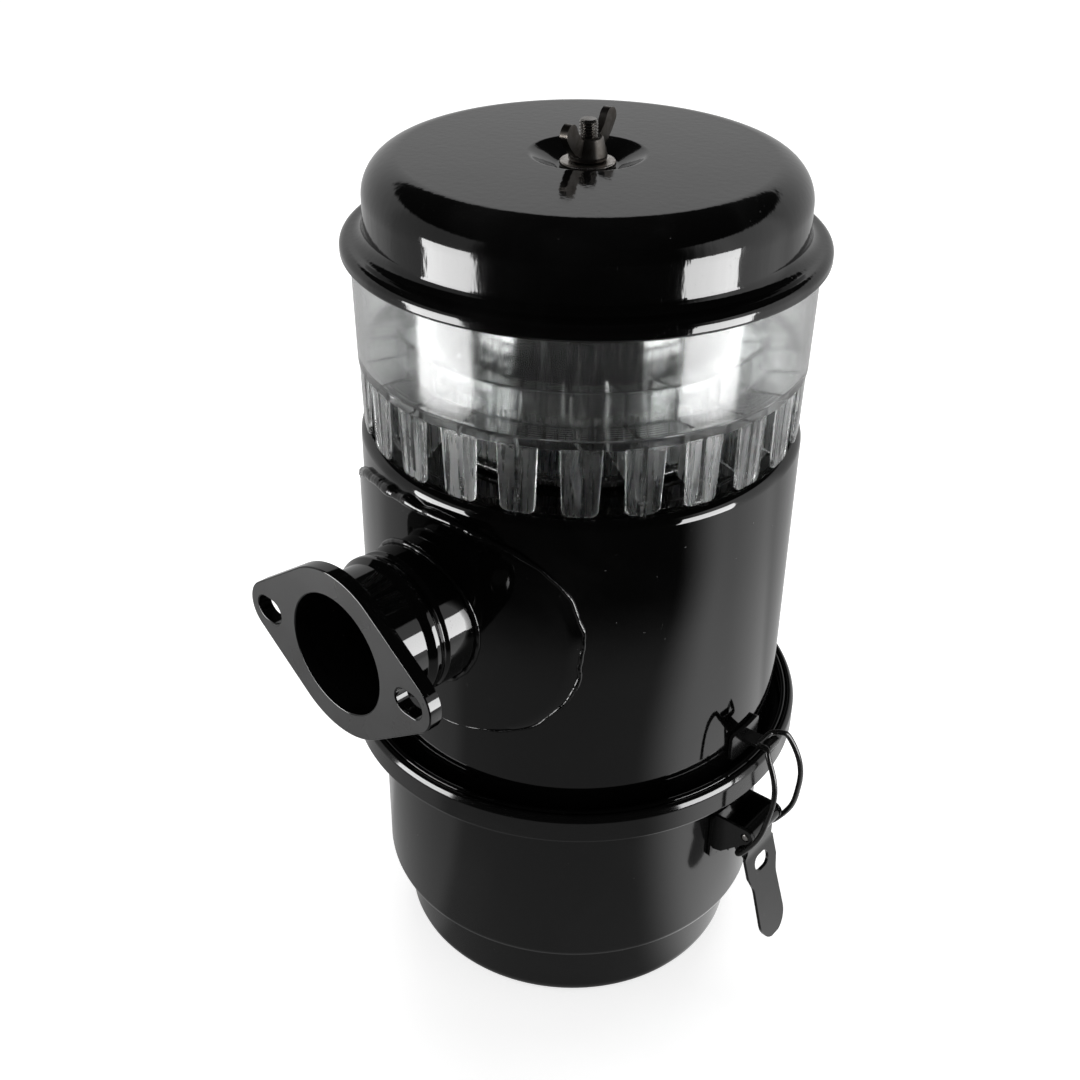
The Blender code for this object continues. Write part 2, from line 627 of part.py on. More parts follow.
def add_finger(bm, outline, tip_height, turn):
    """Tab that carries the bowl's drafted wall down past the floor."""
    faces = []
    for depth in (0.0, FINGER_WALL):
        verts = []
        for x, y in outline:
            height = tip_height + y
            verts.append(bm.verts.new(turn @ Vector((x, depth - finger_face(height), height))))
        faces.append(verts)
        bm.faces.new(verts)
    front, back = faces
    for i in range(len(front)):
        k = (i + 1) % len(front)
        bm.faces.new((front[i], front[k], back[k], back[i]))


def add_vane(bm, tip_height, turn):
    """Slanted web from the finger in to the sleeve; it swirls the air that enters."""
    outer = finger_face(tip_height) - FINGER_WALL / 2
    inner = SLEEVE_INNER + SLEEVE_WALL / 2
    floor_mid = FLOOR_HEIGHT - BOWL_FLOOR * 0.35
    top = FLOOR_HEIGHT + LIP_HEIGHT - LIP_WALL
    low = tip_height + VANE_TIP_RISE
    lip_mid = LIP_RADIUS - LIP_WALL / 2
    reach = (outer - inner) / math.cos(VANE_SLANT)
    lean = BOWL_DRAFT * (floor_mid - low)
    outline = [(0.0, low), (reach, low + VANE_TIP_DROP), (reach, top), (outer - lip_mid, top),
               (outer - lip_mid, floor_mid), (-lean, floor_mid)]
    upright = Matrix(((0, 0, 1), (1, 0, 0), (0, 1, 0))).to_4x4()
    place = (turn @ Matrix.Translation((0, -outer, 0)) @ Matrix.Rotation(VANE_SLANT, 4, "Z") @ upright)
    add_prism(bm, outline, -VANE_THICKNESS / 2, VANE_THICKNESS / 2, place)


def cover_gasket(mat):
    return ring("cover_gasket", BOWL_TOP_RADIUS - BOWL_WALL - 0.0006, BOWL_TOP_RADIUS,
                COVER_GASKET_BASE, COVER_GASKET_BASE + COVER_GASKET, mat)


def cover(mat):
    """Pressed lid: dimpled for the nut, round shoulder, flared foot with a rolled edge."""
    hole = STUD_RADIUS + PIN_FIT + 0.0004
    edge = COVER_EDGE_RADIUS
    flat = COVER_BASE + COVER_WALL
    middle = edge - COVER_BEAD_WIDTH / 2
    line = [(middle, flat)]
    line += arc((COVER_RADIUS + COVER_FLARE, flat + COVER_FLARE), COVER_FLARE, 270, 180, 2)
    line += arc((COVER_RADIUS - COVER_SHOULDER, COVER_TOP - COVER_SHOULDER), COVER_SHOULDER, 0, 90, 4)
    line += [(DIMPLE_RADIUS, COVER_TOP), (DIMPLE_RADIUS - 0.0022, COVER_TOP - 0.0007),
             (DIMPLE_FLOOR_RADIUS, DIMPLE_HEIGHT), (hole, DIMPLE_HEIGHT)]
    inside = offset_line(line, COVER_WALL)
    tall = COVER_BEAD_HEIGHT / COVER_BEAD_WIDTH
    bead = [(x, flat + (y - COVER_BEAD_WIDTH / 2) * tall)
            for x, y in arc((middle, 0.0), COVER_BEAD_WIDTH / 2, 90, -180, 5)]
    notch = [(middle - COVER_BEAD_WIDTH / 2, flat - COVER_WALL)]
    loop = line + inside[1:][::-1] + notch + bead[1:][::-1]
    return turned("cover", loop, mat)


def washer(mat):
    return turned("washer", [(STUD_RADIUS + PIN_FIT, WASHER_BASE), (WASHER_RADIUS, WASHER_BASE),
                             (WASHER_RADIUS, WASHER_BASE + WASHER_THICKNESS),
                             (STUD_RADIUS + PIN_FIT, WASHER_BASE + WASHER_THICKNESS)], mat, steps=SMALL_ROUND)


def wing_outline():
    """Side view of one wing, from the hub out, above the washer."""
    root = NUT_TOP_RADIUS * 0.6
    tip_round = 0.0032
    centre = (WING_SPAN - tip_round, WING_RISE - tip_round)
    outline = [(root, 0.0012), (NUT_BASE_RADIUS, 0.0016), (WING_SPAN - 0.0028, 0.0062)]
    outline += arc(centre, tip_round, -15, 165, 5)
    outline += [(NUT_TOP_RADIUS + 0.0012, NUT_HEIGHT), (root, NUT_HEIGHT - 0.0006)]
    return outline


def wing_nut(mat):
    nut = turned("wing_nut", [
        (STUD_RADIUS + PIN_FIT, NUT_BASE), (NUT_BASE_RADIUS, NUT_BASE),
        (NUT_BASE_RADIUS, NUT_BASE + 0.0012), (NUT_TOP_RADIUS, NUT_BASE + NUT_HEIGHT),
        (STUD_RADIUS + PIN_FIT, NUT_BASE + NUT_HEIGHT)], mat, steps=SMALL_ROUND)
    bm = bmesh.new()
    upright = Matrix(((0, 0, 1), (-1, 0, 0), (0, 1, 0))).to_4x4()
    for side in (0.0, math.pi):
        place = Matrix.Translation((0, 0, NUT_BASE)) @ heading(WING_TURN + side) @ upright
        add_prism(bm, wing_outline(), -WING_THICKNESS / 2, WING_THICKNESS / 2, place)
    wings = make_object("nut_wings", bm, mat)
    boolean(nut, wings, "UNION")
    bore = rod("nut_bore", STUD_RADIUS + PIN_FIT, NUT_BASE - NUT_HEIGHT, NUT_BASE + NUT_HEIGHT * 2, mat)
    boolean(nut, bore, "DIFFERENCE")
    return nut


def latch_points():
    """Pivot, crossbar and bail ends in the latch plane: distance from the axis, height."""
    pivot = Vector((PIVOT_RADIUS, PIVOT_HEIGHT))
    crossbar = Vector((RIM_RADIUS + HOOK_OUT, RIM_LEDGE_HEIGHT + HOOK_HEIGHT))
    down = math.atan2(pivot.y - crossbar.y, pivot.x - crossbar.x) - TOGGLE_ANGLE
    ends = pivot + Vector((math.cos(down), math.sin(down))) * TOGGLE_ARM
    return pivot, crossbar, ends


def latch_frame(side):
    """Local X runs out from the axis through the latch, local Y up, local Z across it."""
    axes = Matrix(((1, 0, 0), (0, 0, -1), (0, 1, 0))).to_4x4()
    return Matrix.Rotation(LATCH_TURN + (0.0 if side == "right" else math.pi), 4, "Z") @ axes


def wall_plate(name, radius, width, low, high, thickness, mat, side):
    """Plate bent to a round wall."""
    half = width / 2 / radius
    steps = 6
    inner = arc((0, 0), radius, -math.degrees(half), math.degrees(half), steps)
    outer = arc((0, 0), radius + thickness, -math.degrees(half), math.degrees(half), steps)
    turn = Matrix.Rotation(LATCH_TURN + (0.0 if side == "right" else math.pi), 4, "Z")
    return prism(name, inner + outer[::-1], low, high, mat, turn)


def ear_half_gap():
    """Half-distance between the bracket's ears: the lever's curl and its side clearance."""
    return LEVER_WIDTH / 2 + BRACKET_EAR_GAP


def latch_bracket(side, mat):
    """Back plate bent to the cup with two ears that carry the lever's pin."""
    pivot, _, _ = latch_points()
    base = CUP_UPPER_RADIUS + FIT
    low = PIVOT_HEIGHT + BRACKET_EAR_RADIUS - BRACKET_HEIGHT
    high = PIVOT_HEIGHT + BRACKET_EAR_RADIUS
    width = (ear_half_gap() + BRACKET_PLATE) * 2 + 0.003
    bracket = wall_plate("latch_bracket_" + side, base, width, low, high, BRACKET_PLATE, mat, side)
    root = base + BRACKET_PLATE * 0.3
    outline = [(root - 0.0006, pivot.y - BRACKET_EAR_RADIUS - 0.0040), (root + 0.0022, pivot.y - BRACKET_EAR_RADIUS - 0.0040)]
    outline += arc(pivot, BRACKET_EAR_RADIUS, -90, 90, 6)
    outline += [(root - 0.0006, high)]
    bm = bmesh.new()
    for sign in (-1, 1):
        near = sign * ear_half_gap()
        far = near + sign * BRACKET_PLATE
        add_prism(bm, outline, min(near, far), max(near, far), latch_frame(side))
    boolean(bracket, make_object("ears_" + side, bm, mat), "UNION")
    place = latch_frame(side) @ Matrix.Translation((pivot.x, pivot.y, 0))
    hole = rod("ear_holes_" + side, PIN_RADIUS + PIN_FIT, -width, width, mat, 12, place)
    boolean(bracket, hole, "DIFFERENCE")
    return bracket


def lever_pin(side, mat):
    pivot, _, _ = latch_points()
    half = ear_half_gap() + BRACKET_PLATE + PIN_STAND
    loop = [(0.0, -half), (PIN_RADIUS - 0.0004, -half), (PIN_RADIUS, -half + 0.0004),
            (PIN_RADIUS, half - 0.0004), (PIN_RADIUS - 0.0004, half), (0.0, half)]
    pin = turned("lever_pin_" + side, loop, mat, steps=12)
    pin.data.transform(latch_frame(side) @ Matrix.Translation((pivot.x, pivot.y, 0)))
    return pin


def lever_drop():
    """Height from the pin down to the lever's tip."""
    return LEVER_BEND_AT + (LEVER_LENGTH - LEVER_BEND_AT) * math.cos(LEVER_BEND)


def lever_section(pivot):
    """Side view of the lever's plate: down from the curl, then bent outward."""
    face = pivot.x + LEVER_SET - LEVER_PLATE / 2
    bend = pivot.y - LEVER_BEND_AT
    run = LEVER_LENGTH - LEVER_BEND_AT
    tip = Vector((face + run * math.sin(LEVER_BEND), bend - run * math.cos(LEVER_BEND)))
    line = [tuple(tip)]
    for i in range(4):
        t = 1 - i / 3
        a = LEVER_BEND * t
        line.append((face + LEVER_BEND_RADIUS * (1 - math.cos(a)), bend + LEVER_BEND_RADIUS * (0.5 - math.sin(a))))
    line.append((face, pivot.y))
    return sheet_loop(line, -LEVER_PLATE)


def lever_front():
    """Front view of the lever's plate: wide at the ears, waisted, with a round tip."""
    wide = LEVER_WIDTH / 2 - LEVER_EAR_WALL * 0.3
    tip = LEVER_WAIST / 2
    neck = tip + (wide - tip) * 0.35
    right = [(wide, LEVER_TOP), (wide, -LEVER_SHOULDER_AT), (wide * 0.25 + neck * 0.75, -LEVER_TAPER_AT),
             (neck, -LEVER_NECK_AT)]
    right += arc((0.0, tip - lever_drop()), tip, 0, -80, 5)
    left = [(-x, y) for x, y in reversed(right)]
    return right + left


def latch_lever(side, mat):
    """Stamped lever: plate, curl round the pin and two ears that take the bail's ends."""
    pivot, _, ends = latch_points()
    frame = latch_frame(side)
    half = LEVER_WIDTH / 2
    lever = prism("latch_lever_" + side, lever_section(pivot), -half - 0.001, half + 0.001, mat, frame)
    through = LEVER_LENGTH * 0.5
    front = frame @ Matrix.Translation((pivot.x, pivot.y, 0)) @ Matrix.Rotation(math.pi / 2, 4, "Y")
    trim = prism("lever_trim_" + side, lever_front(), -through, through, mat, front)
    boolean(lever, trim, "INTERSECT")
    curl_half = half - LEVER_EAR_WALL * 0.15
    curl = rod("lever_curl_" + side, LEVER_CURL, -curl_half, curl_half, mat, 16,
               frame @ Matrix.Translation((pivot.x, pivot.y, 0)))
    boolean(lever, curl, "UNION")
    bm = bmesh.new()
    back = pivot.x + LEVER_SET
    outline = [(back, ends.y - LEVER_EAR_ROUND * 1.9), (back, ends.y + LEVER_EAR_ROUND * 1.4),
               (ends.x, ends.y + LEVER_EAR_ROUND)]
    outline += arc(ends, LEVER_EAR_ROUND, 120, 270, 5)
    for sign in (-1, 1):
        far = sign * half
        near = far - sign * LEVER_EAR_WALL
        add_prism(bm, outline, min(near, far), max(near, far), frame)
    boolean(lever, make_object("lever_ears_" + side, bm, mat), "UNION")
    bm = bmesh.new()
    for point, radius in ((pivot, PIN_RADIUS), (ends, WIRE_RADIUS)):
        place = frame @ Matrix.Translation((point.x, point.y, 0))
        add_rod(bm, radius + PIN_FIT, -LEVER_WIDTH, LEVER_WIDTH, 12, place)
    slot = front @ Matrix.Translation((0, -LEVER_HOLE_AT, 0))
    add_prism(bm, capsule(LEVER_HOLE_LENGTH, LEVER_HOLE_WIDTH, 5), -through, through, slot)
    boolean(lever, make_object("lever_holes_" + side, bm, mat), "DIFFERENCE")
    return lever


def bail_route():
    """Points along half of the bail, from its end in the lever's ear up to the crossbar."""
    pivot, crossbar, ends = latch_points()
    foot = ear_half_gap() + BRACKET_PLATE + PIN_STAND + BAIL_FOOT_GAP + WIRE_RADIUS
    inside = LEVER_WIDTH / 2 - LEVER_EAR_WALL - BAIL_INSET
    bow = crossbar.x + BAIL_BOW
    rise = crossbar.y - pivot.y
    return [
        Vector((ends.x, ends.y, inside)),
        Vector((ends.x, ends.y, foot - 0.0016)),
        Vector((ends.x + 0.0004, ends.y + 0.0001, foot - 0.0004)),
        Vector((ends.x + 0.0016, ends.y + 0.0006, foot)),
        Vector((pivot.x + 0.0022, pivot.y - 0.0030, foot)),
        Vector((pivot.x + 0.0066, pivot.y + rise * 0.12, foot - 0.0003)),
        Vector((bow - 0.0012, pivot.y + rise * 0.36, foot * 0.5 + BAIL_BOW_HALF * 0.5)),
        Vector((bow, pivot.y + rise * 0.58, BAIL_BOW_HALF)),
        Vector((bow - 0.0016, pivot.y + rise * 0.80, BAIL_BOW_HALF * 0.5 + BAIL_SHOULDER_HALF * 0.5)),
        Vector((bow - 0.0056, crossbar.y - 0.0008, BAIL_SHOULDER_HALF)),
        Vector((crossbar.x + 0.0046, crossbar.y + 0.0012, BAIL_TOP_HALF + 0.0006)),
        Vector((crossbar.x + 0.0016, crossbar.y + 0.0003, BAIL_TOP_HALF)),
        Vector((crossbar.x + 0.0003, crossbar.y, BAIL_TOP_HALF - 0.0010)),
        Vector((crossbar.x, crossbar.y, BAIL_TOP_HALF - 0.0024)),
    ]


def smooth_route(points, per_span):
    """Catmull-Rom curve through the points."""
    result = []
    for i in range(len(points) - 1):
        p0 = points[max(i - 1, 0)]
        p1, p2 = points[i], points[i + 1]
        p3 = points[min(i + 2, len(points) - 1)]
        for k in range(per_span):
            t = k / per_span
            result.append(0.5 * ((2 * p1) + (p2 - p0) * t + (2 * p0 - 5 * p1 + 4 * p2 - p3) * t * t
                                 + (3 * p1 - p0 - 3 * p2 + p3) * t * t * t))
    result.append(points[-1])
    return result


def bail_wire(side, mat):
    """Spring wire loop with bowed legs; its bent ends sit in the lever's ears."""
    half = bail_route()
    mirrored = [Vector((p.x, p.y, -p.z)) for p in reversed(half)]
    route = [latch_frame(side) @ p for p in smooth_route(half + mirrored, 2)]
    return sweep("bail_wire_" + side, route, WIRE_RADIUS, 6, mat)


def sweep(name, route, radius, sides, mat):
    """Round wire along a route, with a section that is carried along without twist."""
    bm = bmesh.new()
    across = None
    rings = []
    for i, point in enumerate(route):
        ahead = (route[min(i + 1, len(route) - 1)] - route[max(i - 1, 0)]).normalized()
        across = (across or ahead.orthogonal())
        across = (across - ahead * across.dot(ahead)).normalized()
        beside = ahead.cross(across)
        rings.append([bm.verts.new(point + (across * math.cos(math.tau * k / sides)
                                            + beside * math.sin(math.tau * k / sides)) * radius)
                      for k in range(sides)])
    for near, far in zip(rings, rings[1:]):
        for k in range(sides):
            n = (k + 1) % sides
            bm.faces.new((near[k], near[n], far[n], far[k]))
    bm.faces.new(rings[0])
    bm.faces.new(rings[-1])
    return make_object(name, bm, mat, math.radians(50))


def strike_hook(side, mat):
    """Plate on the drum with a tongue turned up into a lip that holds the bail's crossbar."""
    _, crossbar, _ = latch_points()
    base = BODY_RADIUS + FIT
    floor = crossbar.y - WIRE_RADIUS - HOOK_FLOOR_GAP
    hook = wall_plate("strike_hook_" + side, base, HOOK_BASE_WIDTH, floor - HOOK_BASE_HEIGHT * 0.7,
                      floor + HOOK_BASE_HEIGHT * 0.3, HOOK_PLATE, mat, side)
    lip = crossbar.x + WIRE_RADIUS + HOOK_LIP_GAP
    root = base + HOOK_PLATE * 0.5
    corner = HOOK_PLATE
    outline = [(root, floor), (root, floor - HOOK_PLATE)]
    outline += [(lip + HOOK_PLATE - corner * 0.6, floor - HOOK_PLATE), (lip + HOOK_PLATE, floor - HOOK_PLATE + corner * 0.6)]
    outline += [(lip + HOOK_PLATE, floor + HOOK_LIP), (lip, floor + HOOK_LIP), (lip, floor)]
    tongue = prism("hook_tongue_" + side, outline, -HOOK_TONGUE / 2, HOOK_TONGUE / 2, mat, latch_frame(side))
    boolean(hook, tongue, "UNION")
    return hook


def set_origin(obj, point):
    """Move an object's origin to a point without moving its surface."""
    shift = Vector(point)
    obj.data.transform(Matrix.Translation(-shift))
    obj.location = shift


def build():
    clear_scene()
    paint = material("black_gloss_paint", (0.012, 0.012, 0.013), 0.12, coat=0.6)
    clear = material("clear_plastic", (0.86, 0.87, 0.87), 0.08, transmission=0.9)
    zinc = material("zinc_plate", (0.62, 0.61, 0.58), 0.32, metallic=1.0)
    rubber = material("black_rubber", (0.02, 0.02, 0.02), 0.75)
    wool = material("wire_wool", (0.35, 0.34, 0.32), 0.5, metallic=0.9)
    spring = material("spring_wire", (0.10, 0.10, 0.10), 0.3, metallic=0.8)

    oil_cup(paint)
    oil_baffle(paint)
    cup_gasket(rubber)
    body_shell(paint)
    inlet_neck(paint)
    center_tube(paint)
    stud_bridge(paint)
    stud(zinc)
    grid("lower_grid", PACK_BASE_HEIGHT, zinc)
    mesh_pack(wool)
    grid("upper_grid", PACK_BASE_HEIGHT + GRID_THICKNESS + PACK_HEIGHT + FIT * 2, zinc)
    outlet_pad(paint)
    outlet_neck(paint)
    outlet_flange(paint)
    precleaner_bowl(clear)
    cover_gasket(rubber)
    cover(paint)
    washer(zinc)
    nut = wing_nut(zinc)
    set_origin(nut, (0.0, 0.0, NUT_BASE))
    pivot, _, ends = latch_points()
    for side in ("right", "left"):
        frame = latch_frame(side)
        strike_hook(side, paint)
        latch_bracket(side, paint)
        lever_pin(side, zinc)
        set_origin(latch_lever(side, paint), frame @ Vector((pivot.x, pivot.y, 0.0)))
        set_origin(bail_wire(side, spring), frame @ Vector((ends.x, ends.y, 0.0)))


build()
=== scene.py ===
# Oil bath air filter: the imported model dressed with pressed, moulded, cast and wire pieces.
from math import acos, asin, atan2, cos, degrees, pi, radians, sin, sqrt, tan, tau

import bmesh
import bpy
from mathutils import Matrix, Vector, noise


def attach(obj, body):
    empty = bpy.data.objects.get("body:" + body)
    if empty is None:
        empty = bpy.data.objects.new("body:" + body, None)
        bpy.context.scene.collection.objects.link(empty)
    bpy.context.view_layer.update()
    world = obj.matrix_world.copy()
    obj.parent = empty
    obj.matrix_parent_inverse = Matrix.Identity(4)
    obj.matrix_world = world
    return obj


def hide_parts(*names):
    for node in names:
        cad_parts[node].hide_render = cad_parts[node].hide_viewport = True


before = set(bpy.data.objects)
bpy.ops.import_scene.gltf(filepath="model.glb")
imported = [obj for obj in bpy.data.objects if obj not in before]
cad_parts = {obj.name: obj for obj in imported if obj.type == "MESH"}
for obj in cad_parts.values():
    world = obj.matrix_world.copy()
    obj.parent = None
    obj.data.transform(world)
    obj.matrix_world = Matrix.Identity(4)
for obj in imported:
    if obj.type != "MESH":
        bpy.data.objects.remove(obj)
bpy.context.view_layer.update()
show = bpy.context.scene.collection.objects.link
print("frame loaded,", len(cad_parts), "nodes")


# camera
cameraLook = dict(out=0.4474, up=0.4435, turn=42.8, pitch=31.905, yaw=-1.736, roll=0.639, lens=48.50)


def addCamera(look):
    pitch, yaw, roll, turn = (radians(look[key]) for key in ("pitch", "yaw", "roll", "turn"))
    ahead = Vector((sin(yaw) * cos(pitch), cos(yaw) * cos(pitch), -sin(pitch)))
    level = Vector((cos(yaw), -sin(yaw), 0.0))
    above = level.cross(ahead)
    across = level * cos(roll) + above * sin(roll)
    upward = above * cos(roll) - level * sin(roll)
    axes = Matrix((across, upward, -ahead)).transposed().to_4x4()
    place = Matrix.Rotation(turn, 4, "Z") @ Matrix.Translation((0.0, -look["out"], look["up"])) @ axes
    lens = bpy.data.cameras.new("photoCamera")
    lens.lens = look["lens"]
    lens.sensor_width = 36.0
    camera = bpy.data.objects.new("photoCamera", lens)
    camera.matrix_world = place
    show(camera)
    bpy.context.scene.camera = camera


addCamera(cameraLook)
print("camera set")


# shader maths
class Signal:
    # a socket: sums on it add Math nodes
    def __init__(self, bench, socket):
        self.bench = bench
        self.socket = socket

    def join(self, operation, *terms):
        return self.bench.node("ShaderNodeMath", {"operation": operation}, dict(enumerate(terms)))

    def __add__(self, other):
        return self.join("ADD", self, other)

    def __radd__(self, other):
        return self.join("ADD", other, self)

    def __sub__(self, other):
        return self.join("SUBTRACT", self, other)

    def __rsub__(self, other):
        return self.join("SUBTRACT", other, self)

    def __mul__(self, other):
        return self.join("MULTIPLY", self, other)

    def __rmul__(self, other):
        return self.join("MULTIPLY", other, self)

    def __pow__(self, other):
        return self.join("POWER", self, other)

    def __gt__(self, other):
        return self.join("GREATER_THAN", self, other)

    def __lt__(self, other):
        return self.join("LESS_THAN", self, other)

    def __abs__(self):
        return self.join("ABSOLUTE", self)

    def top(self, other):
        return self.join("MAXIMUM", self, other)

    def wave(self):
        return self.join("SINE", self)

    def ramp(self, start, end, low=0.0, high=1.0):
        # smooth change from low to high as the value goes from start to end
        return self.bench.node("ShaderNodeMapRange", {"interpolation_type": "SMOOTHSTEP"},
                               {0: self, 1: start, 2: end, 3: low, 4: high})


class Bench:
    # one node tree being built
    def __init__(self, owner):
        owner.use_nodes = True
        self.owner = owner
        self.tree = owner.node_tree
        self.tree.nodes.clear()

    def feed(self, socket, value):
        if isinstance(value, Signal):
            self.tree.links.new(value.socket, socket)
        else:
            socket.default_value = value

    def node(self, kind, settings, inputs, output=0):
        made = self.tree.nodes.new(kind)
        for name, setting in settings.items():
            setattr(made, name, setting)
        for name, value in inputs.items():
            self.feed(made.inputs[name], value)
        return Signal(self, made.outputs[output])

    def stretch(self, place, factors):
        return self.node("ShaderNodeVectorMath", {"operation": "MULTIPLY"}, {0: place, 1: factors})

    def cloud(self, place, scale, detail=2.0, distortion=0.0):
        return self.node("ShaderNodeTexNoise", {}, {"Vector": place, "Scale": scale, "Detail": detail,
                                                    "Distortion": distortion})

    def cells(self, place, scale, feature="F1"):
        return self.node("ShaderNodeTexVoronoi", {"feature": feature}, {"Vector": place, "Scale": scale})

    def parts(self, vector):
        return [self.node("ShaderNodeSeparateXYZ", {}, {0: vector}, axis) for axis in range(3)]

    def blend(self, share, first, second):
        return self.node("ShaderNodeMix", {"data_type": "RGBA"}, {0: share, 6: first, 7: second}, 2)

    def bump(self, height):
        # height in metres
        return self.node("ShaderNodeBump", {}, {"Height": height, "Distance": 1.0, "Strength": 1.0})

    def surface(self, colour, rough, height, others):
        values = {"Base Color": colour, "Roughness": rough, "Normal": self.bump(height), **others}
        self.finish(self.node("ShaderNodeBsdfPrincipled", {}, values, "BSDF"), "ShaderNodeOutputMaterial")
        return self.owner

    def finish(self, shader, output):
        out = self.tree.nodes.new(output)
        self.tree.links.new(shader.socket, out.inputs["Surface"])


def newFinish(name):
    bench = Bench(bpy.data.materials.new(name))
    return bench, bench.node("ShaderNodeTexCoord", {}, {}, "Object")


def grey(level, warm=0.0):
    return (level * (1 + warm), level, level * (1 - warm), 1.0)


# finishes: scales are per metre, depths in metres
paintLook = dict(
    black=0.0016, dust=0.03, sheen=0.045, haze=0.05, peelScale=420.0, peelDepth=0.0000045, waveScale=45.0,
    waveDepth=0.00006, streakDepth=0.000004, streakGrain=(420.0, 420.0, 110.0), smearScale=26.0,
    speck=(150.0, 0.045, 61.0, 0.56, 0.0), lint=(900.0, 0.10, 140.0, 0.60, 1.0), dirtRough=0.25,
    dirtDepth=0.00002)


def dots(bench, place, scale, size, patchScale, patchLevel, detail):
    # scattered dots, kept in patches only
    return (bench.cells(place, scale) < size) * (bench.cloud(place, patchScale, detail) > patchLevel)


def glossPaint(name, look, **changes):
    look = {**look, **changes}
    bench, place = newFinish(name)
    waves = bench.cloud(place, look["waveScale"], 1.0)
    peel = bench.cloud(place, look["peelScale"], 2.0)
    streak = bench.cloud(bench.stretch(place, look["streakGrain"]), 1.0, 2.0)
    smear = bench.cloud(place, look["smearScale"], 4.0, 0.6)
    speck = dots(bench, place, *look["speck"])
    lint = dots(bench, place, *look["lint"])
    film = smear.ramp(0.45, 0.75)
    dirt = speck.top(lint * 0.5)
    dusty = grey(look["dust"] * 0.35 + look["black"])
    colour = bench.blend(film * 0.35 + dirt * 0.6, grey(look["black"]), dusty)
    rough = look["sheen"] + film * look["haze"] + dirt * look["dirtRough"]
    height = waves * look["waveDepth"] + peel * look["peelDepth"] + streak * look["streakDepth"]
    height = height + dirt * look["dirtDepth"]
    return bench.surface(colour, rough, height, {"IOR": 1.5})


neckLook = dict(
    black=0.026, bare=0.14, sheen=0.05, scratch=0.75, nick=0.6, scratchRough=0.16, nickRough=0.2,
    depth=0.0000035, longGrain=(900.0, 900.0, 24.0), shortGrain=(1500.0, 1500.0, 160.0), patchScale=38.0)


def scratchedPaint(name, look):
    # upright brush marks left by the sleeve that slides over it
    bench, place = newFinish(name)
    long = bench.cloud(bench.stretch(place, look["longGrain"]), 1.0, 3.0)
    short = bench.cloud(bench.stretch(place, look["shortGrain"]), 1.0, 1.0)
    patch = bench.cloud(place, look["patchScale"], 3.0).ramp(0.42, 0.62)
    marks = long.ramp(0.54, 0.66) * patch
    nicks = short.ramp(0.70, 0.76) * patch
    worn = marks * look["scratch"] + nicks * look["nick"]
    colour = bench.blend(worn, grey(look["black"]), grey(look["bare"]))
    rough = look["sheen"] + marks * look["scratchRough"] + nicks * look["nickRough"]
    height = (long + marks) * look["depth"]
    return bench.surface(colour, rough, height, {"IOR": 1.5, "Specular IOR Level": 1.0})


def satinFace(name, level, rough):
    bench, place = newFinish(name)
    fine = bench.cloud(place, 900.0, 2.0)
    broad = bench.cloud(place, 55.0, 3.0)
    colour = bench.blend(broad.ramp(0.3, 0.7), grey(level * 0.92, 0.01), grey(level * 1.08, -0.01))
    return bench.surface(colour, rough + broad * 0.08, fine * 0.000003, {"IOR": 1.5})


plasticLook = dict(
    tint=(0.965, 0.975, 0.972, 1.0), rough=0.05, wallRough=0.06, fingerRough=0.30, scuffRough=0.06,
    ringPitch=0.0013, ringDepth=0.000026, ringShade=0.75, flow=0.000018, drawnDepth=0.00002,
    floorFrom=(0.2395, 0.2425), floorTo=(0.2462, 0.2445), wallFrom=(0.244, 0.250),
    fingersFrom=(0.2418, 0.2400))


def clearMoulding(name, look):
    # tool rings on the floor, flow marks on the wall, and drawn streaks on the hanging fingers
    bench, place = newFinish(name)
    x, y, z = bench.parts(place)
    reach = (x * x + y * y) ** 0.5
    floorBand = z.ramp(*look["floorFrom"]) * z.ramp(*look["floorTo"])
    rings = (reach * (tau / look["ringPitch"])).wave() * floorBand
    flow = bench.cloud(bench.stretch(place, (55.0, 55.0, 26.0)), 1.0, 2.0, 0.4)
    fine = bench.cloud(place, 700.0, 2.0)
    scuff = bench.cloud(bench.stretch(place, (500.0, 500.0, 60.0)), 1.0, 2.0).ramp(0.62, 0.74)
    height = rings * look["ringDepth"] + flow * look["flow"] + fine * 0.0000012 + scuff * 0.000002
    drawn = bench.cloud(bench.stretch(place, (620.0, 620.0, 34.0)), 1.0, 2.0)
    hanging = z.ramp(*look["fingersFrom"])
    height = height + drawn * hanging * look["drawnDepth"]
    rough = look["rough"] + z.ramp(*look["wallFrom"]) * look["wallRough"] + scuff * look["scuffRough"]
    rough = rough + hanging * drawn.ramp(0.40, 0.62) * look["fingerRough"]
    trace = bench.cloud(place, 24.0, 2.0).ramp(0.40, 0.60)
    lines = (rings * 0.5 + 0.5) * floorBand * trace
    colour = bench.blend(lines * look["ringShade"], look["tint"], grey(0.30))
    return bench.surface(colour, rough, height, {"IOR": 1.49, "Specular IOR Level": 0.22,
                                                 "Specular Tint": grey(0.66), "Transmission Weight": 0.99})


def platedZinc(name, tone, rough, warm=0.03):
    bench, place = newFinish(name)
    stain = bench.cloud(place, 260.0, 4.0, 0.5)
    grain = bench.cloud(bench.stretch(place, (2600.0, 700.0, 2600.0)), 1.0, 1.0)
    colour = bench.blend(stain.ramp(0.35, 0.7), grey(tone, warm), grey(tone * 0.55, warm * 2))
    height = grain * 0.000004 + stain * 0.000012
    return bench.surface(colour, rough + stain * 0.12, height, {"Metallic": 1.0})


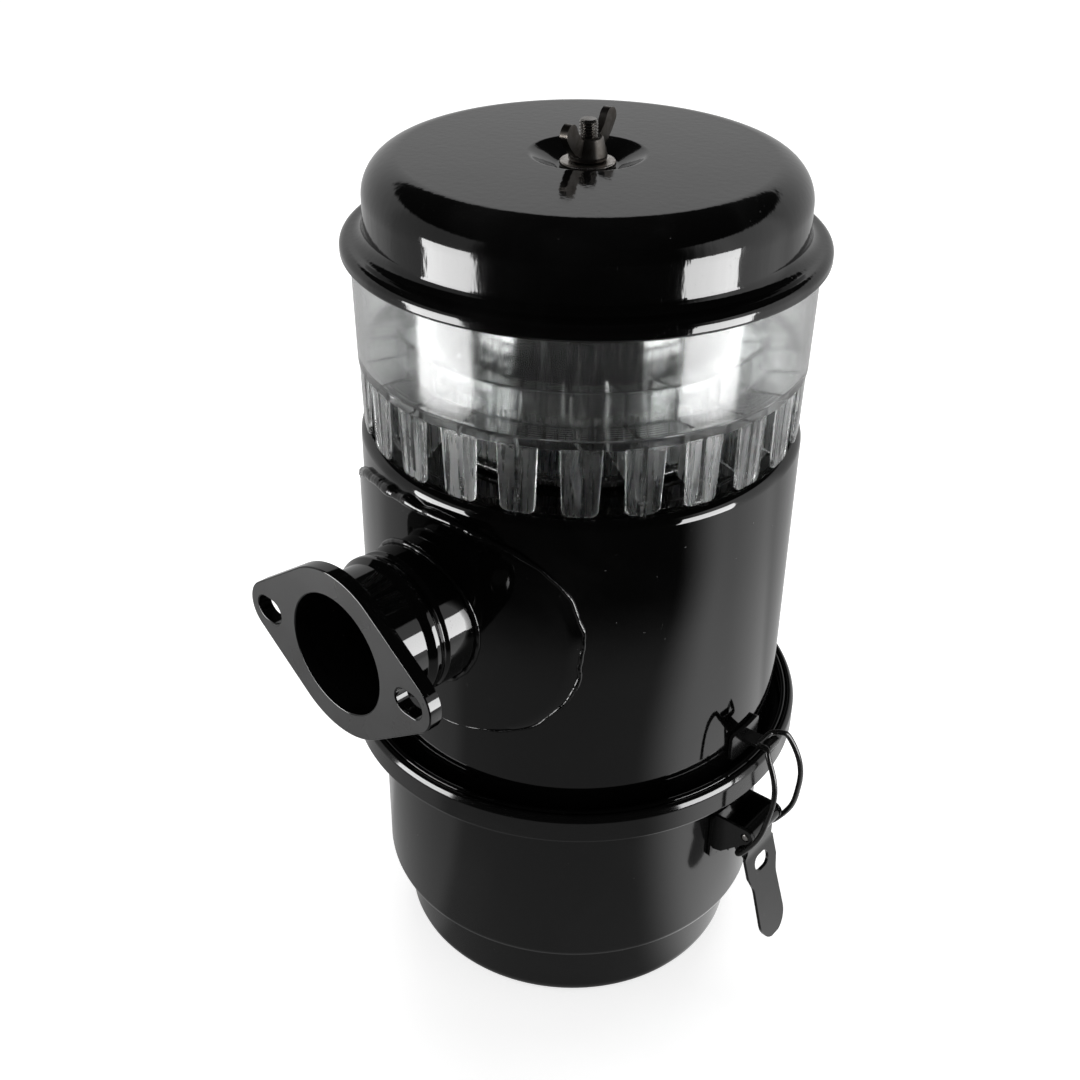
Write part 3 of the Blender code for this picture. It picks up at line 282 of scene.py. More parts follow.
def springSteel(name):
    bench, place = newFinish(name)
    oxide = bench.cloud(place, 340.0, 3.0)
    colour = bench.blend(oxide.ramp(0.4, 0.7), grey(0.004), grey(0.016, 0.04))
    return bench.surface(colour, 0.20 + oxide * 0.14, oxide * 0.000006, {"Metallic": 0.08})


def softRubber(name):
    bench, place = newFinish(name)
    grain = bench.cloud(place, 1400.0, 3.0)
    bloom = bench.cloud(place, 60.0, 3.0)
    colour = bench.blend(bloom.ramp(0.4, 0.8), grey(0.012), grey(0.035))
    return bench.surface(colour, 0.62 + bloom * 0.2, grain * 0.00001, {})


def knittedWool(name):
    bench, place = newFinish(name)
    tangle = bench.cloud(place, 420.0, 6.0, 3.5)
    strand = bench.cells(bench.stretch(place, (1.0, 1.0, 1.7)), 620.0, "DISTANCE_TO_EDGE")
    wire = strand.ramp(0.14, 0.02)
    colour = bench.blend(wire, grey(0.03, 0.05), grey(0.50, 0.03))
    height = wire * 0.0004 + tangle * 0.0003
    return bench.surface(colour, 0.30 + tangle * 0.25, height, {"Metallic": wire * 0.9})


paint = glossPaint("drumPaint", paintLook)
cupPaint = glossPaint("cupPaint", paintLook, black=0.0035, sheen=0.10, haze=0.06, peelDepth=0.000006)
capPaint = glossPaint("capPaint", paintLook, sheen=0.07, waveScale=34.0, waveDepth=0.00008,
                      streakDepth=0.000045)
weldPaint = glossPaint("weldPaint", paintLook, peelScale=300.0, peelDepth=0.00002, waveScale=150.0,
                       waveDepth=0.00012, sheen=0.14)
latchPaint = glossPaint("latchPaint", paintLook, black=0.005, sheen=0.14, dust=0.10, waveScale=120.0)
neckPaint = scratchedPaint("neckPaint", neckLook)
flangeFace = satinFace("flangeFace", 0.062, 0.24)
clear = clearMoulding("clearMoulding", plasticLook)
washerZinc = platedZinc("washerZinc", 0.62, 0.22, 0.05)
nutZinc = platedZinc("nutZinc", 0.22, 0.26, 0.06)
studZinc = platedZinc("studZinc", 0.30, 0.20, 0.04)
pinZinc = platedZinc("pinZinc", 0.45, 0.24)
wireSteel = springSteel("wireSteel")
gasketRubber = softRubber("gasketRubber")
wool = knittedWool("knittedWool")
print("finishes ready")


def pick(look, names):
    return [look[name] for name in names.split()]


# mesh helpers, in millimetres
def arc(centre, radius, start, end, steps):
    return [(centre[0] + radius * cos(radians(start + (end - start) * i / steps)),
             centre[1] + radius * sin(radians(start + (end - start) * i / steps)))
            for i in range(steps + 1)]


def rounded(corners, steps=7):
    # closed outline with each corner (x, y, radius) rounded
    line = []
    count = len(corners)
    for i, (x, y, radius) in enumerate(corners):
        here = Vector((x, y))
        back = Vector(corners[i - 1][:2]) - here
        ahead = Vector(corners[(i + 1) % count][:2]) - here
        if radius <= 0.0:
            line.append((x, y))
            continue
        half = back.angle(ahead) / 2
        reach = min(radius / tan(half), back.length * 0.495, ahead.length * 0.495)
        radius = reach * tan(half)
        centre = here + (back.normalized() + ahead.normalized()).normalized() * (radius / sin(half))
        start = here + back.normalized() * reach - centre
        end = here + ahead.normalized() * reach - centre
        first = atan2(start.y, start.x)
        sweep = (atan2(end.y, end.x) - first + pi) % tau - pi
        for k in range(steps + 1):
            turn = first + sweep * k / steps
            line.append((centre.x + radius * cos(turn), centre.y + radius * sin(turn)))
    return line


def addSides(bm, pairs):
    # faces between neighbouring rings of the same count
    for near, far in pairs:
        for i in range(len(near)):
            n = (i + 1) % len(near)
            bm.faces.new((near[i], near[n], far[n], far[i]))


def addSpun(bm, section, steps):
    # closed section (radius, height) turned round Z
    rings = []
    for r, z in section:
        if r < 1e-4:
            rings.append([bm.verts.new((0.0, 0.0, z))])
        else:
            rings.append([bm.verts.new((r * cos(tau * k / steps), r * sin(tau * k / steps), z))
                          for k in range(steps)])
    for near, far in zip(rings, rings[1:] + rings[:1]):
        if len(near) == 1 and len(far) == 1:
            continue
        for k in range(steps):
            n = (k + 1) % steps
            side = [near[0]] if len(near) == 1 else [near[k], near[n]]
            side += [far[0]] if len(far) == 1 else [far[n], far[k]]
            bm.faces.new(side)
    return [v for ring in rings for v in ring]


def addPrism(bm, outline, low, high, place=None):
    bottom, top = ([bm.verts.new((x, y, z)) for x, y in outline] for z in (low, high))
    bm.faces.new(bottom)
    bm.faces.new(top)
    addSides(bm, [(bottom, top)])
    if place is not None:
        bmesh.ops.transform(bm, matrix=place, verts=bottom + top)


def addRod(bm, radius, low, high, sides, place=None):
    addPrism(bm, arc((0, 0), radius, 0, 360 - 360 / sides, sides - 1), low, high, place)


def addSweep(bm, route, sides, radiusAt, closed=False):
    # round section carried along a route without twist
    across = None
    rings = []
    count = len(route)
    for i, point in enumerate(route):
        if closed:
            ahead = (route[(i + 1) % count] - route[i - 1]).normalized()
        else:
            ahead = (route[min(i + 1, count - 1)] - route[max(i - 1, 0)]).normalized()
        across = across or ahead.orthogonal()
        across = (across - ahead * across.dot(ahead)).normalized()
        around = ahead.cross(across)
        size = radiusAt(i, point)
        rings.append([bm.verts.new(point + (across * cos(tau * k / sides)
                                            + around * sin(tau * k / sides)) * size)
                      for k in range(sides)])
    pairs = list(zip(rings, rings[1:]))
    if closed:
        # the carried section may end turned, so the last ring meets the first at its nearest corner
        shift = min(range(sides), key=lambda s: (rings[-1][0].co - rings[0][s].co).length)
        pairs.append((rings[-1], rings[0][shift:] + rings[0][:shift]))
    addSides(bm, pairs)
    if not closed:
        bm.faces.new(rings[0])
        bm.faces.new(rings[-1])


def smoothRoute(points, steps):
    route = []
    for i in range(len(points) - 1):
        a, b, c, d = (points[max(i - 1, 0)], points[i], points[i + 1], points[min(i + 2, len(points) - 1)])
        for k in range(steps):
            t = k / steps
            route.append(0.5 * ((2 * b) + (c - a) * t + (2 * a - 5 * b + 4 * c - d) * t * t
                                + (3 * b - a - 3 * c + d) * t * t * t))
    route.append(points[-1])
    return route


def makeObject(name, bm, finish):
    bmesh.ops.recalc_face_normals(bm, faces=bm.faces[:])
    bmesh.ops.transform(bm, matrix=Matrix.Scale(0.001, 4), verts=bm.verts[:])
    mesh = bpy.data.meshes.new(name)
    bm.to_mesh(mesh)
    bm.free()
    mesh.materials.append(finish)
    piece = bpy.data.objects.new(name, mesh)
    show(piece)
    return piece


def settle(piece):
    # keep what the modifiers made
    graph = bpy.context.evaluated_depsgraph_get()
    mesh = bpy.data.meshes.new_from_object(piece.evaluated_get(graph), depsgraph=graph)
    piece.modifiers.clear()
    piece.data = mesh


def combine(piece, bm, operation):
    # join to a piece, or cut from it, what a bmesh holds
    tool = makeObject("tool", bm, piece.data.materials[0])
    change = piece.modifiers.new("combine", "BOOLEAN")
    change.operation = operation
    change.solver = "EXACT"
    change.object = tool
    settle(piece)
    bpy.data.objects.remove(tool, do_unlink=True)


def finishPiece(piece, nodes, body="filter", sharp=32.0, edge=0.0, edgeSteps=2):
    # edge is the width of the rounded edges, in millimetres
    if edge > 0:
        soften = piece.modifiers.new("soften", "BEVEL")
        soften.width = edge * 0.001
        soften.segments = edgeSteps
        soften.limit_method = "ANGLE"
        soften.angle_limit = radians(40)
        soften.use_clamp_overlap = True
        settle(piece)
    piece.data.shade_smooth()
    piece.data.set_sharp_from_angle(angle=radians(sharp))
    even = piece.modifiers.new("even", "WEIGHTED_NORMAL")
    even.keep_sharp = True
    settle(piece)
    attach(piece, body)
    if nodes:
        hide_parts(*nodes)


def turned(name, section, finish, steps=192):
    bm = bmesh.new()
    addSpun(bm, section, steps)
    return makeObject(name, bm, finish)


# oil cup: rimCurl holds, for each corner of the rolled rim, how far in, how far down, and its radius
cupLook = dict(
    base=65.0, wall=72.7, step=28.0, ledge=96.0, rim=83.4, top=107.0, sheet=1.2, baseRound=6.0,
    stepRound=6.2,
    rimCurl=((0.0, 1.8, 2.4), (1.1, 0.0, 2.0), (2.5, 0.0, 0.6), (2.5, 2.6, 0.3), (1.2, 2.6, 0.3)))


def oilCup(look):
    s = look["sheet"]
    base, wall, step, ledge, rim, top = pick(look, "base wall step ledge rim top")
    outside = [(0, 0, 0), (base, 0, look["baseRound"]), (base, step, 1.0), (wall, step, look["stepRound"]),
               (wall, ledge, 1.2), (rim, ledge, 1.4)]
    curl = [(rim - x, top - y, r) for x, y, r in look["rimCurl"]]
    inside = [(rim - s, ledge + s, 0.8), (wall - s, ledge + s, 1.0),
              (wall - s, step + s, look["stepRound"] - s), (base - s, step + s, 1.2),
              (base - s, s, look["baseRound"] - s), (0, s, 0)]
    cup = turned("oil_cup_pressed", rounded(outside + curl + inside), cupPaint)
    finishPiece(cup, ["oil_cup"])


oilCup(cupLook)


# drum: lipRoll as rimCurl above; crestRise is how far its raised ring's corners stand in from it
drumLook = dict(
    wall=75.0, sheet=1.2, foot=100.6, top=216.1, crest=218.2, ring=66.5, ringRound=2.2, shoulder=5.0,
    lip=79.2, lipTop=106.8, mouth=28.8, lipRoll=((0.9, -0.4, 1.0), (0.9, 1.6, 0.5), (0.0, 2.0, 0.3)),
    crestRise=(2.0, 2.4, 0.4), outletHeight=170.7, bore=21.0, boreFrom=40.0, boreTo=90.0)


def outletPlace():
    # local Z runs out along the outlet, X along the flange, Y up
    axes = Matrix(((1, 0, 0), (0, 0, -1), (0, 1, 0))).to_4x4()
    return Matrix.Translation((0, 0, drumLook["outletHeight"])) @ axes


def drumShell(look):
    s = look["sheet"]
    wall, foot, top, lip, high = pick(look, "wall foot top lip lipTop")
    crest, ring, shoulder, bend, mouth = pick(look, "crest ring shoulder ringRound mouth")
    under, underIn, crestIn = look["crestRise"]
    roll = [(lip - x, high - y, r) for x, y, r in look["lipRoll"]]
    outside = [(lip, foot + s, 0.8), (wall, foot + s, 2.2), (wall, crest, shoulder), (ring, crest, bend),
               (ring - under, top, bend), (mouth, top, 0)]
    inside = [(mouth, top - s, 0), (ring - underIn, top - s, bend), (ring - crestIn, crest - s, bend),
              (wall - s, crest - s, shoulder - s), (wall - s, foot, 3.0), (lip + s, foot, 1.6),
              (lip + s, roll[0][1], 1.0)]
    shell = turned("drum_shell", rounded(roll + outside + inside, 9), paint)
    bore = bmesh.new()
    addRod(bore, look["bore"], look["boreFrom"], look["boreTo"], 64, outletPlace())
    combine(shell, bore, "DIFFERENCE")
    finishPiece(shell, ["body_shell"])


drumShell(drumLook)


# inlet neck
inletLook = dict(outer=48.0, sheet=1.2, base=216.4, top=285.4, foot=52.5, footTop=219.6)


def inletNeck(look):
    outer, s, base, top = pick(look, "outer sheet base top")
    section = rounded([(outer - s, base, 0), (look["foot"], base, 1.5), (look["foot"], look["footTop"], 1.5),
                       (outer, look["footTop"], 0.9), (outer, top, 0.5), (outer - s, top, 0.5)])
    finishPiece(turned("inlet_neck_tube", section, neckPaint), ["inlet_neck"])


inletNeck(inletLook)
print("cup, drum and inlet neck made")


# outlet
padLook = dict(
    half=58.6, tall=40.0, power=2.5, sheet=1.3, hole=24.6, gap=0.25, wobble=0.7, wobbleScale=3.1,
    edgeFrom=0.93, edgeDrop=0.75, around=256, across=14)


def unevenness(turn, scale, seed):
    # noise that closes on itself after a whole turn
    return noise.noise(Vector((cos(turn) * scale, sin(turn) * scale, seed)))


def padEdge(turn, look):
    # outline of the pad, unrolled: along the drum, up
    c, s = cos(turn), sin(turn)
    reach = (abs(c) ** look["power"] + abs(s) ** look["power"]) ** (-1 / look["power"])
    wobble = 1 + look["wobble"] * unevenness(turn, look["wobbleScale"], 4.0) / look["tall"]
    return look["half"] * c * reach * wobble, look["tall"] * s * reach * wobble


def onDrum(radius, along, rise):
    turn = along / drumLook["wall"]
    return Vector((radius * sin(turn), -radius * cos(turn), drumLook["outletHeight"] + rise))


def outletPad(look):
    wall, sheet, edge = drumLook["wall"], look["sheet"], look["edgeFrom"]
    low = wall + look["gap"]
    bm = bmesh.new()
    faces = []
    for radius in (low, low + sheet):
        rows = []
        for j in range(look["across"] + 1):
            t = j / look["across"]
            dip = sheet * look["edgeDrop"] * max(0.0, (t - edge) / (1 - edge)) ** 2 if radius > low else 0.0
            row = []
            for i in range(look["around"]):
                turn = tau * i / look["around"]
                near = (asin(look["hole"] * cos(turn) / radius) * wall, look["hole"] * sin(turn))
                far = padEdge(turn, look)
                along = near[0] + (far[0] - near[0]) * t
                rise = near[1] + (far[1] - near[1]) * t
                row.append(bm.verts.new(onDrum(radius - dip, along, rise)))
            rows.append(row)
        faces.append(rows)
    inside, outside = faces
    for rows in faces:
        addSides(bm, zip(rows, rows[1:]))
    addSides(bm, [(inside[0], outside[0]), (inside[-1], outside[-1])])
    finishPiece(makeObject("outlet_pad_sheet", bm, paint), ["outlet_pad"])


# fat holds each swelling of the bead: its size, its middle in degrees, and how narrow it is
weldLook = dict(
    size=1.05, thin=0.35, fat=((1.45, 106, 2.5), (0.5, -8, 4)), rough=0.35, fine=0.08, roughScale=9,
    fineScale=60, stray=0.012, out=75.45, steps=720, sides=10)


def padWeld(look):
    # lumpy bead round the pad, fatter towards the upper left
    def lump(i, point):
        turn = tau * i / look["steps"]
        fat = look["thin"]
        for share, middle, power in look["fat"]:
            fat += share * max(0.0, cos(turn - radians(middle))) ** power
        rough = unevenness(turn, look["roughScale"], 1.0)
        fine = unevenness(turn, look["fineScale"], 7.0)
        return look["size"] * fat * (1 + look["rough"] * rough + look["fine"] * fine)

    bm = bmesh.new()
    route = []
    for i in range(look["steps"]):
        turn = tau * i / look["steps"]
        along, rise = padEdge(turn, padLook)
        stray = 1 + look["stray"] * unevenness(turn, look["roughScale"], 2.0)
        route.append(onDrum(look["out"], along * stray, rise * stray))
    addSweep(bm, route, look["sides"], lump, closed=True)
    finishPiece(makeObject("pad_weld", bm, weldPaint), (), sharp=80.0)


outletLook = dict(
    bore=21.0, outer=23.2, foot=24.4, start=69.0, end=104.9, bead=88.5, rise=1.5, half=3.3, crown=0.9)


def outletNeck(look):
    outer, bead, half, peak = look["outer"], look["bead"], look["half"], look["outer"] + look["rise"]
    bore, start, end, foot, crown = pick(look, "bore start end foot crown")
    section = rounded([(bore, start, 0), (foot, start, 0), (foot, bead - half - 1.4, 0.9),
                       (outer + 0.2, bead - half - 0.2, 0.8), (peak, bead - crown, 1.6),
                       (peak, bead + crown, 1.6), (outer, bead + half, 0.9), (outer, end, 0),
                       (bore, end, 0)], 8)
    bm = bmesh.new()
    verts = addSpun(bm, section, 128)
    bmesh.ops.transform(bm, matrix=outletPlace(), verts=verts)
    finishPiece(makeObject("outlet_neck_tube", bm, paint), ["outlet_neck"])


neckWeldLook = dict(
    radius=24.9, out=76.4, steps=220, sides=10, rough=0.30, fine=0.12, roughScale=0.33, fineScale=1.3)


def neckWeld(look):
    # fillet where the neck stands on the pad
    bm = bmesh.new()
    route = []
    for i in range(look["steps"]):
        turn = tau * i / look["steps"]
        x, y = look["radius"] * cos(turn), look["radius"] * sin(turn)
        route.append(Vector((x, -sqrt(look["out"] ** 2 - x * x) - 0.1, drumLook["outletHeight"] + y)))
    addSweep(bm, route, look["sides"], lambda i, p: 1.0 + look["rough"] * noise.noise(p * look["roughScale"])
             + look["fine"] * noise.noise(p * look["fineScale"]), closed=True)
    finishPiece(makeObject("neck_weld", bm, weldPaint), (), sharp=80.0)


flangeLook = dict(
    bolts=69.4, waist=30.0, lobe=10.0, bore=21.0, slotWide=8.8, slotLong=12.2, back=105.2, face=110.2,
    cutFrom=95.0, cutTo=120.0, edge=0.45)


def slotOutline(length, width, steps=12):
    half = (length - width) / 2
    return arc((half, 0), width / 2, -90, 90, steps) + arc((-half, 0), width / 2, 90, 270, steps)


def outletFlange(look):
    half = look["bolts"] / 2
    lean = degrees(acos((look["waist"] - look["lobe"]) / half))
    outline = arc((half, 0), look["lobe"], -lean, lean, 18)
    outline += arc((0, 0), look["waist"], lean, 180 - lean, 22)
    outline += arc((-half, 0), look["lobe"], 180 - lean, 180 + lean, 18)
    outline += arc((0, 0), look["waist"], 180 + lean, 360 - lean, 22)
    place = outletPlace()
    bm = bmesh.new()
    addPrism(bm, outline, look["back"], look["face"], place)
    plate = makeObject("outlet_flange_plate", bm, paint)
    holes = bmesh.new()
    addRod(holes, look["bore"], look["cutFrom"], look["cutTo"], 96, place)
    for side in (-1, 1):
        addPrism(holes, slotOutline(look["slotLong"], look["slotWide"]), look["cutFrom"], look["cutTo"],
                 place @ Matrix.Translation((side * half, 0, 0)))
    combine(plate, holes, "DIFFERENCE")
    finishPiece(plate, ["outlet_flange"], sharp=30.0, edge=look["edge"], edgeSteps=3)
    plate.data.materials.append(flangeFace)
    for face in plate.data.polygons:
        if face.normal.y < -0.999:
            face.material_index = 1


outletPad(padLook)
padWeld(weldLook)
outletNeck(outletLook)
neckWeld(neckWeldLook)
outletFlange(flangeLook)
print("outlet made")


# pre-cleaner bowl
bowlLook = dict(
    top=279.6, floor=243.6, radius=75.4, draft=0.018, wall=1.8, floorSheet=2.0, lip=62.0, lipWall=1.6,
    lipRise=11.0, sleeve=49.0, sleeveWall=1.6, sleeveBase=219.9, sleeveTop=251.9, steps=192)
fingerLook = dict(
    count=24, first=43.2, length=25.0, root=13.0, tip=11.2, corner=2.6, wall=1.6, inset=0.5, soft=0.72)
vaneLook = dict(sheet=1.4, slant=13.0, drop=9.5, rise=2.5)
gateLook = dict(root=1.0, tip=0.9, half=0.55, low=-1.9, high=1.2, inset=0.8)


def bowlRadius(height):
    return bowlLook["radius"] - bowlLook["draft"] * (bowlLook["top"] - height)


def fingerFace(height):
    return bowlRadius(height) * cos(pi / (fingerLook["count"] * 2)) - fingerLook["inset"]


def shrink(outline, amount):
    # an outline drawn in by an amount, for the rounded edges of the fingers
    result = []
    count = len(outline)
    for i in range(count):
        before, here, after = (Vector(outline[(i + k) % count]) for k in (-1, 0, 1))
        a, b = (here - before).normalized(), (after - here).normalized()
        inward = (Vector((-a.y, a.x)) + Vector((-b.y, b.x))).normalized()
        stretch = max(inward.dot(Vector((-a.y, a.x))), 0.6)
        result.append(tuple(here + inward * (amount / stretch)))
    return result


def addFinger(bm, turn, low):
    look = fingerLook
    tip, root, corner = look["tip"] / 2, look["root"] / 2, look["corner"]
    top = look["length"] - bowlLook["floorSheet"] / 2
    right = [(root, top), (tip + 0.02, corner * 1.2)] + arc((tip - corner, corner), corner, -8, -90, 6)
    outline = right + [(-x, y) for x, y in right[::-1]]
    soft, wall = look["soft"], look["wall"]
    layers = [(0.0, soft), (soft * 0.3, soft * 0.3), (soft, 0.0),
              (wall - soft, 0.0), (wall - soft * 0.3, soft * 0.3), (wall, soft)]
    rings = []
    for depth, inset in layers:
        rings.append([bm.verts.new(turn @ Vector((x, depth - fingerFace(low + y), low + y)))
                      for x, y in shrink(outline, -inset)])
    bm.faces.new(rings[0])
    bm.faces.new(rings[-1])
    addSides(bm, zip(rings, rings[1:]))


def addVane(bm, turn, low):
    look = vaneLook
    outer = fingerFace(low) - fingerLook["wall"] / 2
    inner = bowlLook["sleeve"] + bowlLook["sleeveWall"] / 2
    floorMid = bowlLook["floor"] - bowlLook["floorSheet"] * 0.35
    top = bowlLook["floor"] + bowlLook["lipRise"] - bowlLook["lipWall"]
    base = low + look["rise"]
    lipReach = outer - (bowlLook["lip"] - bowlLook["lipWall"] / 2)
    slant = radians(look["slant"])
    reach = (outer - inner) / cos(slant)
    lean = bowlLook["draft"] * (floorMid - base)
    outline = [(0.0, base), (reach, base + look["drop"]), (reach, top), (lipReach, top), (lipReach, floorMid),
               (-lean, floorMid)]
    upright = Matrix(((0, 0, 1), (1, 0, 0), (0, 1, 0))).to_4x4()
    place = turn @ Matrix.Translation((0, -outer, 0)) @ Matrix.Rotation(slant, 4, "Z") @ upright
    addPrism(bm, outline, -look["sheet"] / 2, look["sheet"] / 2, place)


def precleanerBowl(look):
    floor, low, top = look["floor"], look["floor"] - look["floorSheet"], look["top"]
    wall, lip, lipWall, steps = pick(look, "wall lip lipWall steps")
    sleeve, sleeveOut = look["sleeve"], look["sleeve"] + look["sleeveWall"]
    bm = bmesh.new()
    addSpun(bm, rounded([
        (lip - lipWall, low, 0.3), (bowlRadius(low), low, 0.5), (look["radius"], top, 0.4),
        (look["radius"] - wall, top, 0.4), (bowlRadius(floor) - wall, floor, 1.6), (lip, floor, 0.8),
        (lip, floor + look["lipRise"], 0.5), (lip - lipWall, floor + look["lipRise"], 0.5)], 5), steps)
    bowl = makeObject("precleaner_moulding", bm, clear)
    tip = low - fingerLook["length"] + look["floorSheet"]
    first, pitch = radians(fingerLook["first"]), tau / fingerLook["count"]
    fingers, vanes, tube, nub = (bmesh.new() for part in range(4))
    for i in range(fingerLook["count"]):
        turn = Matrix.Rotation(first + tau * i / fingerLook["count"], 4, "Z")
        addFinger(fingers, turn, tip)
        addVane(vanes, turn, tip)
    addSpun(tube, rounded([(sleeve, look["sleeveBase"], 0.4), (sleeveOut, look["sleeveBase"], 0.4),
                           (sleeveOut, look["sleeveTop"], 0.5), (sleeve, look["sleeveTop"], 0.5)], 4), steps)
    # gate mark left by the mould under one finger
    root, end, half = gateLook["root"], gateLook["tip"], gateLook["half"]
    under = Matrix.Translation((0.0, -fingerFace(tip) + gateLook["inset"], tip))
    addPrism(nub, [(-root, -half), (root, -half), (end, half), (-end, half)], gateLook["low"],
             gateLook["high"], Matrix.Rotation(first + pitch, 4, "Z") @ under)
    for part in (vanes, tube, fingers, nub):
        combine(bowl, part, "UNION")
    finishPiece(bowl, ["precleaner_bowl"], sharp=28.0)


precleanerBowl(bowlLook)
print("pre-cleaner bowl made")


# cover
coverLook = dict(
    top=307.2, flat=282.7, side=70.9, shoulder=12.0, flare=4.2, beadIn=75.8, beadOut=78.5, beadTop=282.7,
    beadLow=277.5, beadRound=2.57, beadUnder=1.32, dimple=18.5, dimpleFloor=10.0, dimpleDrop=4.2,
    dimpleEdge=3.2, dimpleRound=2.2, hole=3.7, sheet=1.0)


def coverLid(look):
    s, top, side, flat, hole = pick(look, "sheet top side flat hole")
    drop, bend, shoulder, flare = pick(look, "dimpleDrop dimpleRound shoulder flare")
    low = top - drop
    beadIn, beadOut, beadLow, under = pick(look, "beadIn beadOut beadLow beadUnder")
    outside = [(hole, low, 0.2), (look["dimpleFloor"], low, bend), (look["dimple"], top, look["dimpleEdge"]),
               (side, top, shoulder), (side, flat, flare), (beadOut, look["beadTop"], look["beadRound"]),
               (beadOut, beadLow, under), (beadIn, beadLow, under)]
    inside = [(beadIn, flat - s, 0.3), (side - s, flat - s, flare + s), (side - s, top - s, shoulder - s),
              (look["dimple"] - 0.5, top - s, 2.4), (look["dimpleFloor"] - 0.4, low - s, bend),
              (hole, low - s, 0.2)]
    lid = turned("cover_lid", rounded(outside + inside, 14), capPaint, 256)
    finishPiece(lid, ["cover"], sharp=40.0)


coverLid(coverLook)


# washer, stud and wing nut
fasteningLook = dict(
    washerHole=3.3, washer=8.9, washerBase=303.3, washerTop=304.8, stud=3.0, studTop=317.6,
    studBase=212.1, pitch=1.0, depth=0.5, threadFrom=290.0, slice=0.1, chamfer=0.7, sides=40,
    headFlats=10.0, headTall=4.0)


def platedWasher(look):
    hole, edge, low, high = pick(look, "washerHole washer washerBase washerTop")
    section = rounded([(hole, low, 0.15), (edge, low, 0.35), (edge, high, 0.5), (hole, high, 0.25)], 5)
    finishPiece(turned("large_washer", section, washerZinc, 96), ["washer"])


def centreStud(look):
    sides, z = look["sides"], look["threadFrom"]
    heights = [look["studBase"] + look["headTall"] / 2, z]
    while z < look["studTop"] - 0.01:
        z += look["slice"]
        heights.append(min(z, look["studTop"]))
    bm = bmesh.new()
    rings = []
    for z in heights:
        ring = []
        for k in range(sides):
            turn = tau * k / sides
            phase = (z / look["pitch"] - k / sides) % 1.0
            cut = look["depth"] * max(0.0, 1 - abs(phase - 0.5) * 2.6) if z > look["threadFrom"] else 0.0
            bevel = max(0.0, z - look["studTop"] + look["chamfer"]) * 0.9
            point = look["stud"] - max(cut, bevel)
            ring.append(bm.verts.new((point * cos(turn), point * sin(turn), z)))
        rings.append(ring)
    addSides(bm, zip(rings, rings[1:]))
    bm.faces.new(rings[0])
    bm.faces.new(rings[-1])
    addRod(bm, look["headFlats"] / sqrt(3), look["studBase"], look["studBase"] + look["headTall"], 6)
    finishPiece(makeObject("centre_stud", bm, studZinc), ["stud"], sharp=50.0)


nutLook = dict(
    base=305.1, foot=6.2, crown=4.6, tall=7.2, footTall=1.4, sides=14, span=15.0, rise=13.5, sheet=2.6,
    turn=12.8, bore=3.3, tipRound=3.2, edge=0.5)


def castWingNut(look):
    base, tall, foot, crown, bore = pick(look, "base tall foot crown bore")
    bm = bmesh.new()
    addSpun(bm, rounded([(bore, base, 0), (foot, base, 0.5), (foot, base + look["footTall"], 0.6),
                         (crown, base + tall, 0.7), (bore, base + tall, 0)], 4), look["sides"])
    nut = makeObject("cast_wing_nut", bm, nutZinc)
    span, rise, tip = pick(look, "span rise tipRound")
    outline = [(crown * 0.6, 1.2), (foot, 1.6), (span - 4.6, 4.2), (span - 2.2, 6.6)]
    outline += arc((span - tip, rise - tip), tip, -15, 165, 12)
    outline += [(crown + 2.6, tall + 1.6), (crown + 0.9, tall + 0.1), (crown * 0.6, tall - 0.6)]
    wings, hole = bmesh.new(), bmesh.new()
    upright = Matrix(((0, 0, 1), (-1, 0, 0), (0, 1, 0))).to_4x4()
    for side in (0.0, pi):
        turn = Matrix.Rotation(radians(look["turn"]) + side, 4, "Z")
        addPrism(wings, outline, -look["sheet"] / 2, look["sheet"] / 2,
                 Matrix.Translation((0, 0, base)) @ turn @ upright)
    addRod(hole, bore, base - 5, base + tall * 2, 32)
    combine(nut, wings, "UNION")
    combine(nut, hole, "DIFFERENCE")
    finishPiece(nut, ["wing_nut"], "nut", sharp=35.0, edge=look["edge"], edgeSteps=3)


platedWasher(fasteningLook)
centreStud(fasteningLook)
castWingNut(nutLook)
print("cover and its fastening made")


# toggle latches: points of the latch are (distance from the axis, height)
latchLook = dict(
    turn=5.8, pivot=(86.0, 79.0), crossbar=(84.0, 117.5), ends=(83.93, 71.27), wire=1.0, drill=20.0)
leverLook = dict(
    width=16.8, waist=15.6, flare=10.8, plate=1.2, set=0.4, length=50.0, bendAt=15.0, bend=18.0,
    bendRadius=10.0, curl=3.1, earWall=1.2, holeWide=6.2, holeLong=9.0, holeAt=16.8, top=6.0,
    shoulderAt=11.5, taperAt=15.0, neckAt=24.0, earRound=2.6, pin=1.4, fit=0.3, edge=0.28)
bracketLook = dict(
    base=73.0, plate=1.2, tall=20.0, ear=3.3, deep=13.0, margin=1.5, corner=1.8,
    web=(73.8, 79.2, 67.6, 69.4), webGap=0.3, gap=0.4, pinStand=0.2, edge=0.25)
hookLook = dict(
    base=75.3, plate=1.5, tongue=6.0, width=17.0, tall=11.0, corner=1.6, floorGap=0.8, lipGap=1.7,
    lip=2.2, edge=0.25)
bailLook = dict(
    topHalf=5.0, shoulderHalf=7.2, bowHalf=9.0, bow=11.3, footGap=0.3, inset=1.2, ease=24, hold=14)


def latchTurn(side):
    return Matrix.Rotation(radians(latchLook["turn"] + (0 if side == "right" else 180)), 4, "Z")


def latchPlace(side, point=(0, 0)):
    # local X runs out through the latch, Y up, Z across it
    axes = Matrix(((1, 0, 0), (0, 0, -1), (0, 1, 0))).to_4x4()
    return latchTurn(side) @ axes @ Matrix.Translation((*point, 0))


def earGap():
    return leverLook["width"] / 2 + bracketLook["gap"]


